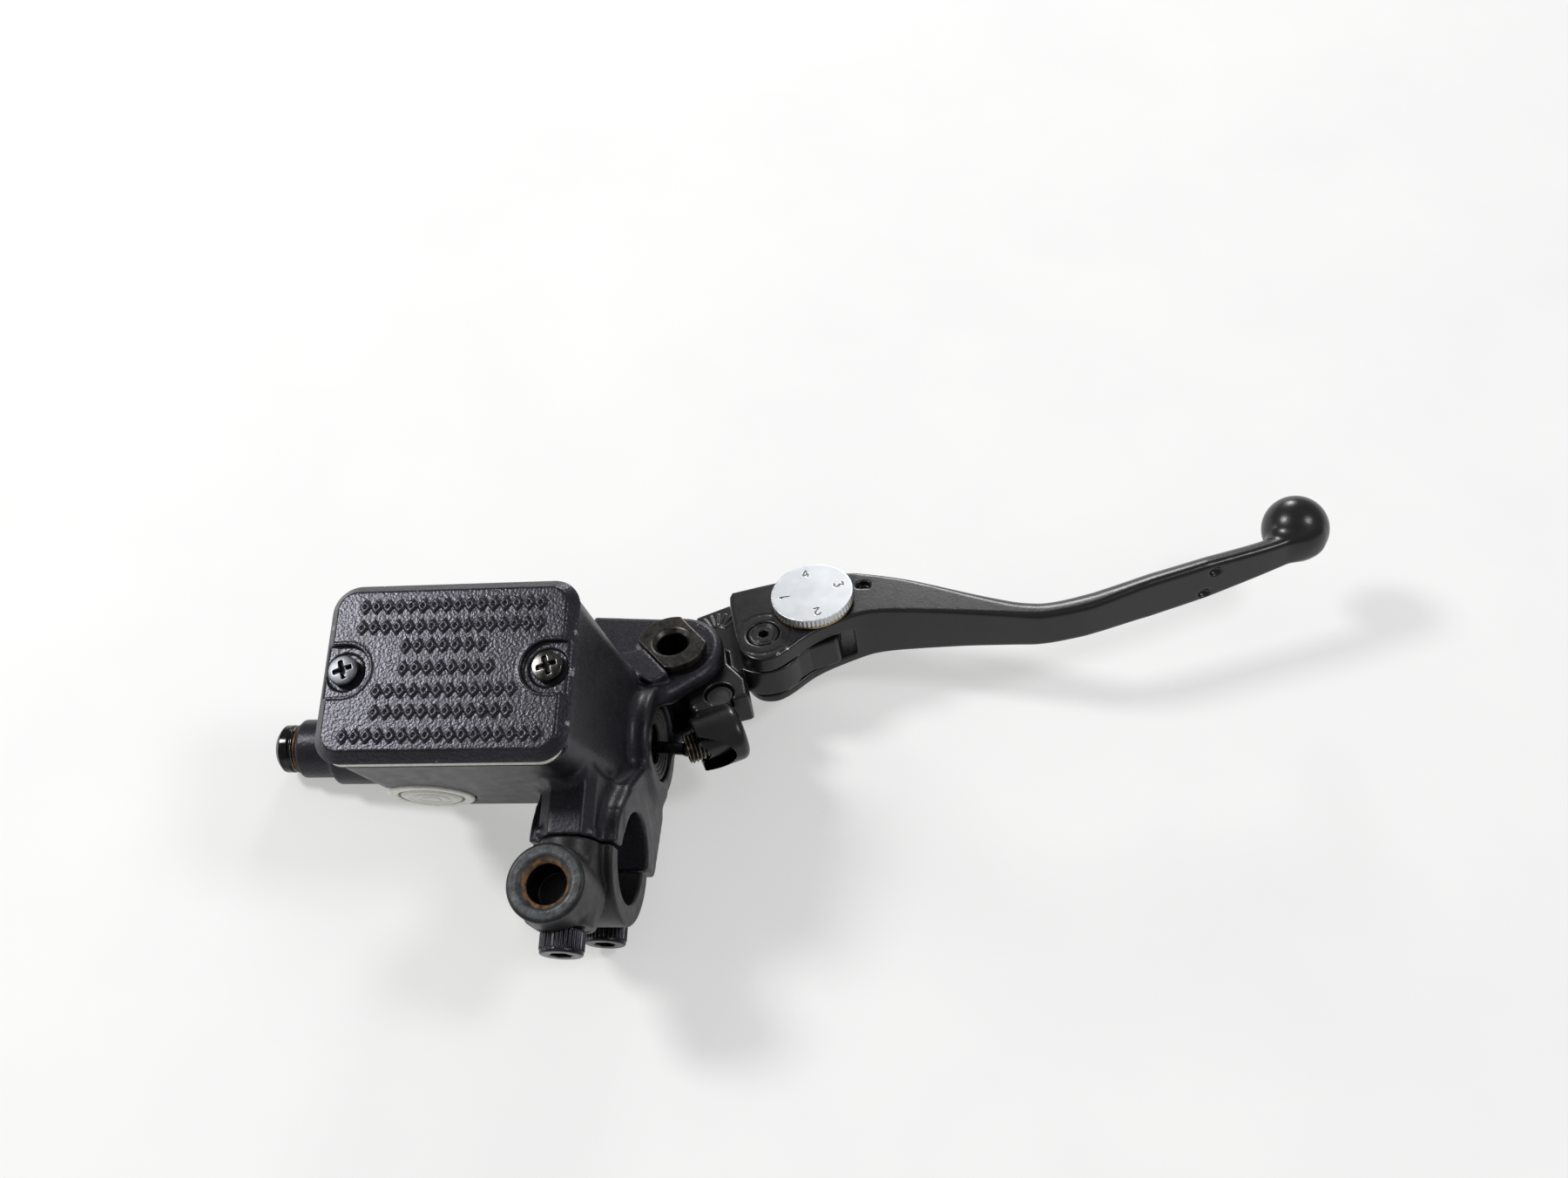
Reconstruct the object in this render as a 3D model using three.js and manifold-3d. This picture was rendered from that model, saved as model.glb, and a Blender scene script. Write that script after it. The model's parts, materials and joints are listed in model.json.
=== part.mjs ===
// Motorcycle front brake master cylinder with its lever, in millimetres.
// Origin: the handlebar's axis at the middle of the clamp. +X runs along the bar to the lever's tip,
// +Y points forward, away from the rider, and +Z is up, square to the reservoir's cap.
// The lever swings in a plane through the bar's axis that drops forward by LEVER_TILT. Lever pieces are
// drawn in that plane: x along the bar, y forward in the plane, z square to it.

import * as THREE from 'three';
import { mergeVertices } from 'three/addons/utils/BufferGeometryUtils.js';
import Module from 'manifold-3d';

const wasm = await Module();
wasm.setup();

const DEG = Math.PI / 180;
const ROUND = 24;                       // sides of a round piece
const GAP = 0.3;                        // clearance between touching pieces

// Handlebar clamp
const BAR_RADIUS = 11.1;
const CLAMP_WIDTH = 21.6;
const CLAMP_CAP_WIDTH = 19.6;
const CLAMP_RADIUS = 16.4;
const CLAMP_SCREW_SPACING = 34;
const CLAMP_SCREW_RADIUS = 3;
const UPPER_SEAT = -20.6;
const LOWER_SEAT = -11.2;
const MIRROR_CENTRE = [-0.9, -13.2];
const MIRROR_FACE = 31;
const MIRROR_RADIUS = 9.3;
const MIRROR_THREAD = 4.6;

// Cylinder, on the lever plane
const LEVER_TILT = 24 * DEG;
const CYLINDER_OFFSET = 36.9;
const CYLINDER_Y = CYLINDER_OFFSET * Math.cos(LEVER_TILT);
const CYLINDER_Z = -CYLINDER_OFFSET * Math.sin(LEVER_TILT);
const CYLINDER_RADIUS = 10.6;
const BORE_RADIUS = 7;
const BORE_END = -50;
const MOUTH_X = 11.4;
const FLANGE_RADIUS = 14.5;
const OUTLET_X = -86;
const OUTLET_RADIUS = 7.7;

// Reservoir
const RESERVOIR_X = -25.5;
const RESERVOIR_WIDTH = 61.5;
const RESERVOIR_DEPTH = 44.4;
const RESERVOIR_TOP = 41;
const RESERVOIR_BOTTOM = -5;
const RESERVOIR_WALL = 3.4;
const DRAFT = 2.9;
const CORNER_RADIUS = 7;
const CAP_THICKNESS = 2.7;
const REBATE = 3;                       // depth of the lid's seat
const CAP_SCREW_SPACING = 49.5;
const CAP_POCKET_RADIUS = 6.5;
const SIGHT_X = -40.3;
const SIGHT_Z = 6.4;
const SIGHT_RADIUS = 10.6;

// Lever, in the lever plane
const PIVOT = [12.6, 60.8];
const PIVOT_RADIUS = 5;
const LUG_RADIUS = 12.8;
const LUG_INNER = 5.6;
const LUG_OUTER = 10;
const PIN_TOP = 13;
const PIN_HEAD_RADIUS = 9.3;
const PIN_FLAT = 6.4;
const PIN_FLAT_ANGLE = 40.8 * DEG;
const BLADE_PIVOT = [35.3, 67.6];
const BLADE_HALF_HEIGHT = 8.2;
const FORK_TOP = 3.4;
const FORK_BOTTOM = -5.6;
const FORK_END = 58;
const WHEEL = [47.5, 79.1];
const WHEEL_RADIUS = 11;
const WHEEL_HEIGHT = 3.2;
const CAM_RADIUS = 5.2;
const CAM_RISE = 0.42;                  // per quarter turn
const BARREL_FACE = [20.9, 35.9];
const BARREL_ANGLE = 26 * DEG;
const BARREL_RADIUS = 7.2;
const BARREL_LENGTH = 12.2;
const LOCK_PIN = [25.4, 49.6];
const PUSHROD_LENGTH = 17.64;
const SOCKET_DEPTH = -2.6;              // the socket's centre, along the barrel from its face
const BALL = [174, 110.4];
const BALL_RADIUS = 9;

const model = new THREE.Group();
const leverFrame = new THREE.Group();
leverFrame.rotation.x = -LEVER_TILT;
model.add(leverFrame);

// ---------- materials ----------

const finish = (color, roughness, metalness) => new THREE.MeshStandardMaterial({ color, roughness, metalness });
const castBlack = () => finish(0x2b2a2e, 0.75, 0.2);
const leverBlack = () => finish(0x303033, 0.45, 0.4);
const blackSteel = () => finish(0x222226, 0.4, 0.7);
const brightSteel = () => finish(0xb9bbbd, 0.35, 0.9);
const rubber = () => finish(0x1b1b1b, 0.9, 0);

// ---------- solids ----------

function toSolid(geometry) {
  const bare = geometry.clone();
  bare.deleteAttribute('normal');
  bare.deleteAttribute('uv');
  const merged = mergeVertices(bare, 1e-4);
  const mesh = new wasm.Mesh({
    numProp: 3,
    vertProperties: Float32Array.from(merged.attributes.position.array),
    triVerts: Uint32Array.from(merged.index.array),
  });
  return new wasm.Manifold(mesh);
}

function toGeometry(solid) {
  const mesh = solid.getMesh();
  const geometry = new THREE.BufferGeometry();
  geometry.setAttribute('position', new THREE.BufferAttribute(Float32Array.from(mesh.vertProperties), 3));
  geometry.setIndex(new THREE.BufferAttribute(Uint32Array.from(mesh.triVerts), 1));
  geometry.computeVertexNormals();
  return geometry;
}

function join(...pieces) {
  return toGeometry(pieces.map(toSolid).reduce((whole, next) => whole.add(next)));
}

function cut(base, ...tools) {
  return toGeometry(tools.map(toSolid).reduce((whole, tool) => whole.subtract(tool), toSolid(base)));
}

function common(first, second) {
  return toGeometry(toSolid(first).intersect(toSolid(second)));
}

function add(name, geometry, material, parent = model) {
  const mesh = new THREE.Mesh(geometry, material);
  mesh.name = name;
  parent.add(mesh);
  return mesh;
}

// ---------- shapes ----------

function box(x, y, z) {
  const size = [x, y, z].map(([low, high]) => high - low);
  const centre = [x, y, z].map(([low, high]) => (low + high) / 2);
  return new THREE.BoxGeometry(...size).translate(...centre);
}

// A lathe profile of [height, radius] points, in the order that turns its faces outwards.
function latheProfile(points) {
  const profile = points.map(([height, radius]) => new THREE.Vector2(radius, height));
  return THREE.ShapeUtils.area(profile) < 0 ? profile.reverse() : profile;
}

// A ring or rod turned about the X axis: points are [x, radius]. A rod starts and ends on the axis.
function turnedX(points, y, z, sides = ROUND) {
  const profile = latheProfile(points);
  return new THREE.LatheGeometry(profile, sides).rotateZ(-Math.PI / 2).translate(0, y, z);
}

// The same about a line along Y, at x and z: points are [y, radius].
function turnedY(points, x, z, sides = ROUND) {
  const profile = latheProfile(points);
  return new THREE.LatheGeometry(profile, sides).translate(x, 0, z);
}

// The same about a line along Z, at x and y: points are [z, radius].
function turnedZ(points, x, y, sides = ROUND) {
  const profile = latheProfile(points);
  return new THREE.LatheGeometry(profile, sides).rotateX(Math.PI / 2).translate(x, y, 0);
}

const rod = (low, high, radius) => [[low, 0], [low, radius], [high, radius], [high, 0]];
const tube = (low, high, inner, outer) => [[low, inner], [low, outer], [high, outer], [high, inner], [low, inner]];

function roundedRect(width, depth, radius) {
  const [x, y] = [width / 2, depth / 2];
  const shape = new THREE.Shape();
  shape.moveTo(-x + radius, -y);
  shape.absarc(x - radius, -y + radius, radius, -Math.PI / 2, 0);
  shape.absarc(x - radius, y - radius, radius, 0, Math.PI / 2);
  shape.absarc(-x + radius, y - radius, radius, Math.PI / 2, Math.PI);
  shape.absarc(-x + radius, -y + radius, radius, Math.PI, 1.5 * Math.PI);
  return shape;
}

function plate(shape, low, high, curveSegments = 5) {
  const options = { depth: high - low, bevelEnabled: false, curveSegments };
  return new THREE.ExtrudeGeometry(shape, options).translate(0, 0, low);
}

function outline(points) {
  return new THREE.Shape(points.map(([x, y]) => new THREE.Vector2(x, y)));
}

// Moves each corner of a solid: change takes a Vector3 and edits it.
function reshape(geometry, change) {
  const position = geometry.attributes.position;
  const point = new THREE.Vector3();
  for (let i = 0; i < position.count; i += 1) {
    point.fromBufferAttribute(position, i);
    change(point);
    position.setXYZ(i, point.x, point.y, point.z);
  }
  return geometry;
}

const tilted = (geometry) => geometry.rotateX(-LEVER_TILT);

function helix(radius, wire, start, end, turns) {
  class Coil extends THREE.Curve {
    getPoint(t, target = new THREE.Vector3()) {
      const angle = 2 * Math.PI * turns * t;
      return target.set(start + (end - start) * t, radius * Math.cos(angle), radius * Math.sin(angle));
    }
  }
  const section = new THREE.Shape();
  section.absarc(0, 0, wire, 0, 2 * Math.PI);
  const options = { steps: Math.round(turns * 10), curveSegments: 3, extrudePath: new Coil() };
  return new THREE.ExtrudeGeometry(section, options);
}

// ---------- reservoir and its lid ----------

const reservoirBox = (inset, low, high, radius) => {
  const shape = roundedRect(RESERVOIR_WIDTH - 2 * inset, RESERVOIR_DEPTH - 2 * inset, radius);
  return plate(shape, low, high).translate(RESERVOIR_X, CYLINDER_Y, 0);
};

// Walls lean in towards the floor, but the right wall leans out to meet the lever lugs.
function draftWalls(geometry) {
  return reshape(geometry, (point) => {
    const drop = (RESERVOIR_TOP - point.z) / (RESERVOIR_TOP - RESERVOIR_BOTTOM);
    point.y -= Math.sign(point.y - CYLINDER_Y) * DRAFT * drop;
    point.x += (point.x < RESERVOIR_X ? DRAFT : 0.7 * DRAFT) * drop;
  });
}

function capScrewAxes() {
  return [-1, 1].map((side) => RESERVOIR_X + side * CAP_SCREW_SPACING / 2);
}

const plateLand = RESERVOIR_TOP - REBATE;

// The seat is open at the front, where the edge of the lid's plate shows.
function lidSeat(grow) {
  const inset = 1.6 - grow;
  const shape = roundedRect(RESERVOIR_WIDTH - 2 * inset, RESERVOIR_DEPTH - 2 * inset, CORNER_RADIUS - inset);
  const seat = plate(shape, plateLand, RESERVOIR_TOP + 1).translate(RESERVOIR_X, CYLINDER_Y, 0);
  return reshape(seat, (point) => {
    if (point.y < CYLINDER_Y) point.y -= 1.6;
  });
}

function reservoirCap() {
  const top = RESERVOIR_TOP + GAP + CAP_THICKNESS;
  const slab = reservoirBox(0, RESERVOIR_TOP + GAP, top, CORNER_RADIUS);
  const bevelled = reshape(slab, (point) => {
    if (point.z < top - 0.1) return;
    point.x = RESERVOIR_X + (point.x - RESERVOIR_X) * (1 - 2 * CAP_THICKNESS / RESERVOIR_WIDTH);
    point.y = CYLINDER_Y + (point.y - CYLINDER_Y) * (1 - 2 * CAP_THICKNESS / RESERVOIR_DEPTH);
  });
  const pockets = capScrewAxes().flatMap((x) => {
    const outward = Math.sign(x - RESERVOIR_X);
    const span = [x, x + outward * 8].sort((a, b) => a - b);
    const half = CAP_POCKET_RADIUS;
    return [
      turnedZ(rod(top - 1.3, top + 1, half), x, CYLINDER_Y),
      box(span, [CYLINDER_Y - half, CYLINDER_Y + half], [top - 1.3, top + 1]),
      turnedZ(rod(RESERVOIR_TOP, top, 2.3), x, CYLINDER_Y, 20),
    ];
  });
  return cut(bevelled, ...pockets);
}

function diaphragmPlate() {
  const low = plateLand + 1.2;
  const high = RESERVOIR_TOP;
  const slab = common(lidSeat(-GAP), box([-70, 20], [0, 70], [low, high]));
  const window = plate(roundedRect(44, 26, 5), low - 1, high + 1).translate(RESERVOIR_X, CYLINDER_Y, 0);
  const holes = capScrewAxes().map((x) => turnedZ(rod(low - 1, high + 1, 2.5), x, CYLINDER_Y, 20));
  return cut(slab, window, ...holes);
}

function diaphragm() {
  const floor = 24;
  const flange = common(lidSeat(-GAP), box([-70, 20], [0, 70], [plateLand + GAP, plateLand + 0.9]));
  const bag = plate(roundedRect(40, 32, 6), floor, plateLand + 0.8).translate(RESERVOIR_X, CYLINDER_Y, 0);
  const hollow = plate(roundedRect(37.6, 29.6, 5), floor + 1.2, RESERVOIR_TOP).translate(RESERVOIR_X, CYLINDER_Y, 0);
  const holes = capScrewAxes().map((x) => turnedZ(rod(floor, RESERVOIR_TOP, 2.5), x, CYLINDER_Y, 20));
  return cut(join(flange, bag), hollow, ...holes);
}

function capScrew(x) {
  const seat = RESERVOIR_TOP + CAP_THICKNESS - 1.3 + 2 * GAP;
  const head = [[27, 0], [27, 1.9], [seat, 1.9], [seat, 3.7], [seat + 1.1, 3.7], [seat + 1.9, 2.4], [seat + 2, 0]];
  const slots = [0, 1].map((turn) => box([-2, 2], [-0.4, 0.4], [seat + 0.7, seat + 3])
    .rotateZ(turn * Math.PI / 2 + Math.PI / 4).translate(x, CYLINDER_Y, 0));
  return cut(turnedZ(head, x, CYLINDER_Y, 24), ...slots);
}

// ---------- sight glass ----------

const frontWall = (z) => {
  const drop = (RESERVOIR_TOP - z) / (RESERVOIR_TOP - RESERVOIR_BOTTOM);
  return CYLINDER_Y - RESERVOIR_DEPTH / 2 + 0.6 + DRAFT * drop;
};
const wallAngle = Math.atan(DRAFT / (RESERVOIR_TOP - RESERVOIR_BOTTOM));
const onFrontWall = (geometry) => geometry.rotateX(wallAngle).translate(SIGHT_X, frontWall(SIGHT_Z), SIGHT_Z);

// ---------- body casting ----------

function pivotLugs() {
  const [px, py] = PIVOT;
  const shape = new THREE.Shape();
  shape.moveTo(-12, 75);
  shape.lineTo(px - 3, py + 12.5);
  shape.absarc(px, py, LUG_RADIUS, 104 * DEG, -52 * DEG, true);
  shape.lineTo(13.5, 44.5);
  shape.lineTo(9, 40);
  shape.lineTo(-16, 40);
  return tilted(plate(shape, -LUG_OUTER, LUG_OUTER, 14));
}

// A step on the upper lug, square to the pin's flat, that stops the pin turning.
function pinStop() {
  const away = PIN_FLAT + GAP;
  const at = (out, along) => {
    const [c, s] = [Math.cos(PIN_FLAT_ANGLE), Math.sin(PIN_FLAT_ANGLE)];
    return [PIVOT[0] - c * out + s * along, PIVOT[1] - s * out - c * along];
  };
  const shape = outline([at(away, -3), at(away, 9), at(away + 5, 9), at(away + 9, 0), at(away + 6, -6)]);
  return tilted(plate(shape, LUG_INNER, PIN_TOP));
}

function leverGap() {
  const [px, py] = PIVOT;
  const shape = new THREE.Shape();
  shape.moveTo(30, 100);
  shape.lineTo(8, 100);
  shape.lineTo(2.4, 70);
  shape.absarc(px, py, 11.2, 142 * DEG, 222 * DEG);
  shape.lineTo(MOUTH_X - 5, 50.8);
  shape.lineTo(30, 50.8);
  const near = outline([[MOUTH_X + GAP, 30], [40, 30], [40, 60], [MOUTH_X + GAP, 60]]);
  return [shape, near].map((gap) => tilted(plate(gap, -LUG_INNER, LUG_INNER, 10)));
}

function clampHalf(width, radius, sign) {
  const half = width / 2;
  const ring = turnedX(rod(-half, half, radius), 0, 0, 48);
  const side = sign > 0 ? [0, 40] : [-40, -2 * GAP];
  return common(ring, box([-30, 30], side, [-40, 40]));
}

function clampArm() {
  const z = CLAMP_SCREW_SPACING / 2;
  const bossShape = outline([[-7.6, 8], [6.2, 8], [6.2, z + 3], [4, z + 6], [-4.2, z + 6], [-7.6, z + 2]]);
  const boss = plate(bossShape, -16, 0).rotateX(Math.PI / 2);
  const lowerBoss = turnedY(rod(0, 18, 7.2), 0, -z);
  const fill = box([-7.2, 6.2], [0, 15], [-z, z]);
  const neck = outline([[0, -20], [0, 10], [9, 13.4], [16, 8], [24, -3], [24, -22], [16, -24.2]]);
  const web = new THREE.ExtrudeGeometry(neck, { depth: CLAMP_WIDTH, bevelEnabled: false });
  web.rotateX(Math.PI / 2).rotateZ(Math.PI / 2).translate(-CLAMP_WIDTH / 2, 0, 0);
  return [boss, lowerBoss, fill, web, clampHalf(CLAMP_WIDTH, CLAMP_RADIUS, 1)];
}

function bodyCasting() {
  const shell = draftWalls(reservoirBox(0.6, RESERVOIR_BOTTOM, RESERVOIR_TOP, CORNER_RADIUS));
  const barrel = turnedX([
    [OUTLET_X, 0], [OUTLET_X, OUTLET_RADIUS - 0.8], [OUTLET_X + 0.8, OUTLET_RADIUS], [-77, OUTLET_RADIUS],
    [-74, 9.5], [-52, CYLINDER_RADIUS], [-7, CYLINDER_RADIUS], [0, 13.2], [3, FLANGE_RADIUS],
    [MOUTH_X - 1.5, FLANGE_RADIUS], [MOUTH_X, FLANGE_RADIUS - 1.5], [MOUTH_X, 0],
  ], CYLINDER_Y, CYLINDER_Z, 40);
  const web = box([-52, 5.5], [CYLINDER_Y - 13, CYLINDER_Y + 18], [CYLINDER_Z - 2, RESERVOIR_BOTTOM + 2]);
  const solid = join(shell, barrel, web, pivotLugs(), pinStop(), ...clampArm());

  const floor = RESERVOIR_BOTTOM + 3.6;
  const cavity = draftWalls(reservoirBox(0.6 + RESERVOIR_WALL, floor, RESERVOIR_TOP + 2, 4));
  const pillars = capScrewAxes().map((x) => {
    const outward = Math.sign(x - RESERVOIR_X);
    const span = [x, x + outward * 8].sort((a, b) => a - b);
    return join(turnedZ(rod(18, plateLand, 4.4), x, CYLINDER_Y),
      box(span, [CYLINDER_Y - 4.4, CYLINDER_Y + 4.4], [18, plateLand]));
  });
  const hollow = cut(cavity, ...pillars);
  const bore = turnedX([
    [BORE_END, 0], [BORE_END, BORE_RADIUS], [3.4, BORE_RADIUS], [3.4, 8.6], [7.6, 8.6], [7.6, 9.8],
    [MOUTH_X + 3, 9.8], [MOUTH_X + 3, 0],
  ], CYLINDER_Y, CYLINDER_Z);
  const passage = turnedX(rod(OUTLET_X - 2, BORE_END + 1, 2.6), CYLINDER_Y, CYLINDER_Z, 20);
  const port = turnedX(rod(OUTLET_X - 2, OUTLET_X + 8, 5.1), CYLINDER_Y, CYLINDER_Z);
  const feed = turnedZ(rod(CYLINDER_Z, floor + 1, 1.2), -30, CYLINDER_Y, 12);
  const sight = onFrontWall(turnedY(rod(-3, 2, SIGHT_RADIUS + GAP), 0, 0));
  const sightBore = onFrontWall(turnedY(rod(-1, 8, 8), 0, 0));
  const pin = tilted(turnedZ(rod(-30, 30, PIVOT_RADIUS + GAP), ...PIVOT));
  const bar = turnedX(rod(-30, 30, BAR_RADIUS), 0, 0, 48);
  const screws = [-1, 1].map((side) => turnedY(rod(-1, 13, CLAMP_SCREW_RADIUS + GAP), 0,
    side * CLAMP_SCREW_SPACING / 2, 20));
  const lidScrews = capScrewAxes().map((x) => turnedZ(rod(26, RESERVOIR_TOP, 2.2), x, CYLINDER_Y, 20));
  return cut(solid, hollow, lidSeat(0), bore, passage, port, feed, sight, sightBore, ...leverGap(), pin, bar,
    ...screws, ...lidScrews);
}

// ---------- handlebar clamp ----------

function clampCap() {
  const z = CLAMP_SCREW_SPACING / 2;
  const top = -2 * GAP;
  const ring = clampHalf(CLAMP_CAP_WIDTH, CLAMP_RADIUS, -1);
  const upper = turnedY(rod(UPPER_SEAT, top, 7.2), 0, z);
  const lower = turnedY(rod(LOWER_SEAT, top, 7.2), 0, -z);
  const fill = box([-7.2, 7.2], [LOWER_SEAT, top], [-z, z]);
  const mirror = turnedZ([[z - 2, 0], [z - 2, MIRROR_RADIUS], [MIRROR_FACE - 0.8, MIRROR_RADIUS],
    [MIRROR_FACE, MIRROR_RADIUS - 0.8], [MIRROR_FACE, 0]], ...MIRROR_CENTRE, 40);
  const foot = box([-8.4, 7], [UPPER_SEAT, top - 3], [z - 6, z + 5]);
  const solid = common(join(ring, upper, lower, fill, mirror, foot), box([-30, 30], [-40, top], [-40, 40]));
  const mirrorHole = turnedZ([[21, 0], [21, MIRROR_THREAD], [MIRROR_FACE - 1.4, MIRROR_THREAD],
    [MIRROR_FACE + 0.2, MIRROR_THREAD + 1.7], [MIRROR_FACE + 0.2, 0]], ...MIRROR_CENTRE);
  const bar = turnedX(rod(-30, 30, BAR_RADIUS), 0, 0, 48);
  const screws = [-1, 1].map((side) => turnedY(rod(-30, 5, CLAMP_SCREW_RADIUS + GAP), 0, side * z, 20));
  const headRoom = turnedY(rod(-30, UPPER_SEAT, 5.9), 0, z);
  return cut(solid, bar, mirrorHole, headRoom, ...screws);
}

function clampScrew(seat, z) {
  const head = seat - GAP;
  const body = turnedY([[head - 6, 0], [head - 6, 4.7], [head - 5.4, 5.3], [head, 5.3], [head, CLAMP_SCREW_RADIUS],
    [11, CLAMP_SCREW_RADIUS], [12, 2.4], [12, 0]], 0, z);
  return cut(body, turnedY(rod(head - 7, head - 3, 2.85), 0, z, 6));
}

// ---------- cylinder internals ----------

function piston() {
  return turnedX([
    [-36, 0], [-36, 3.2], [-32.5, 3.2], [-32.5, 6.7], [-29, 6.7], [-29, 4.6], [-8, 4.6], [-8, 6.7], [-5.5, 6.7],
    [-5.5, 4.4], [-1.5, 4.4], [-1.5, 6.7], [2.6, 6.7], [2.6, 4.6], [0.4, 2.9], [-1.15, 2.6], [-1.15, 0],
  ], CYLINDER_Y, CYLINDER_Z);
}

// A cup seal whose lip opens towards the pressure side, at low x.
function cupSeal(base, inner, length) {
  return turnedX([[base, inner], [base, 6.6], [base - length, 6.7], [base - length, 6.1], [base - 1.2, inner + 1],
    [base - 1.2, inner], [base, inner]], CYLINDER_Y, CYLINDER_Z);
}

function circlip() {
  const ring = turnedX(tube(5.4, 6.4, 6, 8.3), CYLINDER_Y, CYLINDER_Z);
  return cut(ring, box([5, 7], [CYLINDER_Y - 1.6, CYLINDER_Y + 1.6], [CYLINDER_Z - 12, CYLINDER_Z]));
}

function dustBoot() {
  const wall = [[8, 8.8], [8.4, 9.5], [10.7, 9.5], [10.7, 8], [9.7, 5.2], [8.7, 5.2], [9.5, 8], [9.3, 8.8], [8, 8.8]];
  return turnedX(wall, CYLINDER_Y, CYLINDER_Z);
}

// ---------- lever ----------

function pivotPin() {
  const body = turnedZ([[-17, 0], [-17, PIVOT_RADIUS - 0.6], [-16.4, PIVOT_RADIUS], [LUG_OUTER + GAP, PIVOT_RADIUS],
    [LUG_OUTER + GAP, PIN_HEAD_RADIUS], [PIN_TOP - 0.5, PIN_HEAD_RADIUS], [PIN_TOP, PIN_HEAD_RADIUS - 0.5],
    [PIN_TOP, 0]], 0, 0, 40);
  const flats = [-1, 1].map((side) => box([PIN_FLAT, 15], [-15, 15], [LUG_OUTER, PIN_TOP + 1])
    .scale(side, side, 1).rotateZ(PIN_FLAT_ANGLE));
  const hole = turnedZ([[-4, 0], [0, 3.9], [PIN_TOP - 1, 3.9], [PIN_TOP + 0.2, 5.2], [PIN_TOP + 0.2, 0]], 0, 0);
  return cut(body, ...flats, hole).translate(...PIVOT, 0);
}

function leverCarrier() {
  const [px, py] = PIVOT;
  const hub = turnedZ(rod(-4.9, 4.9, 9.4), px, py, 36);
  const low = FORK_BOTTOM + GAP;
  const high = FORK_TOP - GAP;
  const shape = new THREE.Shape();
  shape.moveTo(14.8, 79.6);
  shape.lineTo(px - 2, py + 8);
  shape.lineTo(px, py - 8);
  shape.lineTo(20, 46);
  shape.lineTo(33, 50);
  shape.lineTo(31, 57);
  shape.absarc(...BLADE_PIVOT, 9.6, 235 * DEG, 338 * DEG);
  shape.lineTo(47, 66.6);
  shape.lineTo(53.6, 69.4);
  shape.lineTo(54.2, 70.6);
  shape.lineTo(54.2, 73.35);
  shape.lineTo(43, 73.5);
  shape.absarc(...BLADE_PIVOT, 9.6, 36 * DEG, 128 * DEG);
  shape.lineTo(24.4, 83);
  shape.lineTo(23.2, 84);
  const tongue = plate(shape, low, high, 10);
  const shoulder = plate(outline([[14, 54], [19, 44.5], [33, 49], [31.5, 55], [26.4, 60.5], [25, 66], [20, 68]]),
    -4.9, 4.7);
  const barrel = turnedX([[0, 0], [0, BARREL_RADIUS - 0.3], [0.3, BARREL_RADIUS],
    [BARREL_LENGTH - 3, BARREL_RADIUS], [BARREL_LENGTH - 0.9, BARREL_RADIUS - 0.9],
    [BARREL_LENGTH, BARREL_RADIUS - 3], [BARREL_LENGTH, 0]], 0, 0);
  const neck = box([3, BARREL_LENGTH - 1.5], [0, 12], [-4.9, 4.2]);
  const adjuster = turnedX(rod(-3, BARREL_LENGTH + 3, 4 + GAP), 0, 0, 24);
  const turned = [barrel, neck, adjuster].map((piece) => piece.rotateZ(BARREL_ANGLE).translate(...BARREL_FACE, 0));
  const solid = join(hub, tongue, shoulder, turned[0], turned[1]);
  const bushHole = turnedZ(rod(-9, 9, 6.6), px, py);
  const bladeHole = turnedZ(rod(-9, 9, 5), ...BLADE_PIVOT);
  const lockHole = turnedZ(rod(-1.4, 9, 3.6 + GAP), ...LOCK_PIN, 24);
  return cut(solid, bushHole, bladeHole, lockHole, turned[2]);
}

function lockPin() {
  return turnedZ([[-1.1, 0], [-1.1, 3.3], [3.6, 3.3], [3.9, 3], [3.9, 0]], ...LOCK_PIN, 24);
}

function adjusterScrew() {
  const threads = [];
  for (let i = 0; i < 4; i += 1) {
    const x = -3 + 0.8 * i;
    threads.push([x, 3.35], [x + 0.4, 4]);
  }
  const body = turnedX([[-3, 0], ...threads, [0.2, 3.9], [8.7, 3.9], [9.2, 3.4], [9.2, 0]], 0, 0);
  const socket = turnedX([[-5, 0], [-5, 3.1], [-2.4, 2.9], [-1.1, 1.9], [-0.4, 0]], 0, 0, 20);
  const slot = box([7.6, 12], [-4.5, 4.5], [-0.6, 0.6]);
  return cut(body, socket, slot).rotateZ(BARREL_ANGLE).translate(...BARREL_FACE, 0);
}

const socketCentre = [
  BARREL_FACE[0] + SOCKET_DEPTH * Math.cos(BARREL_ANGLE),
  BARREL_FACE[1] + SOCKET_DEPTH * Math.sin(BARREL_ANGLE),
];

// A rod with a ball at each end, from the piston's seat on the cylinder's axis to the adjuster's socket.
function pushrod() {
  const ball = 1.9;
  const dome = (x, side) => [0, 1, 2, 3, 4].map((i) => {
    const angle = (i / 4) * 125 * DEG;
    return [x + side * ball * Math.cos(angle), ball * Math.sin(angle)];
  });
  const points = [...dome(-PUSHROD_LENGTH, -1), ...dome(0, 1).reverse()];
  const slope = Math.asin((CYLINDER_OFFSET - socketCentre[1]) / PUSHROD_LENGTH);
  return turnedX(points, 0, 0, 20).rotateZ(-slope).translate(...socketCentre, 0);
}

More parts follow.
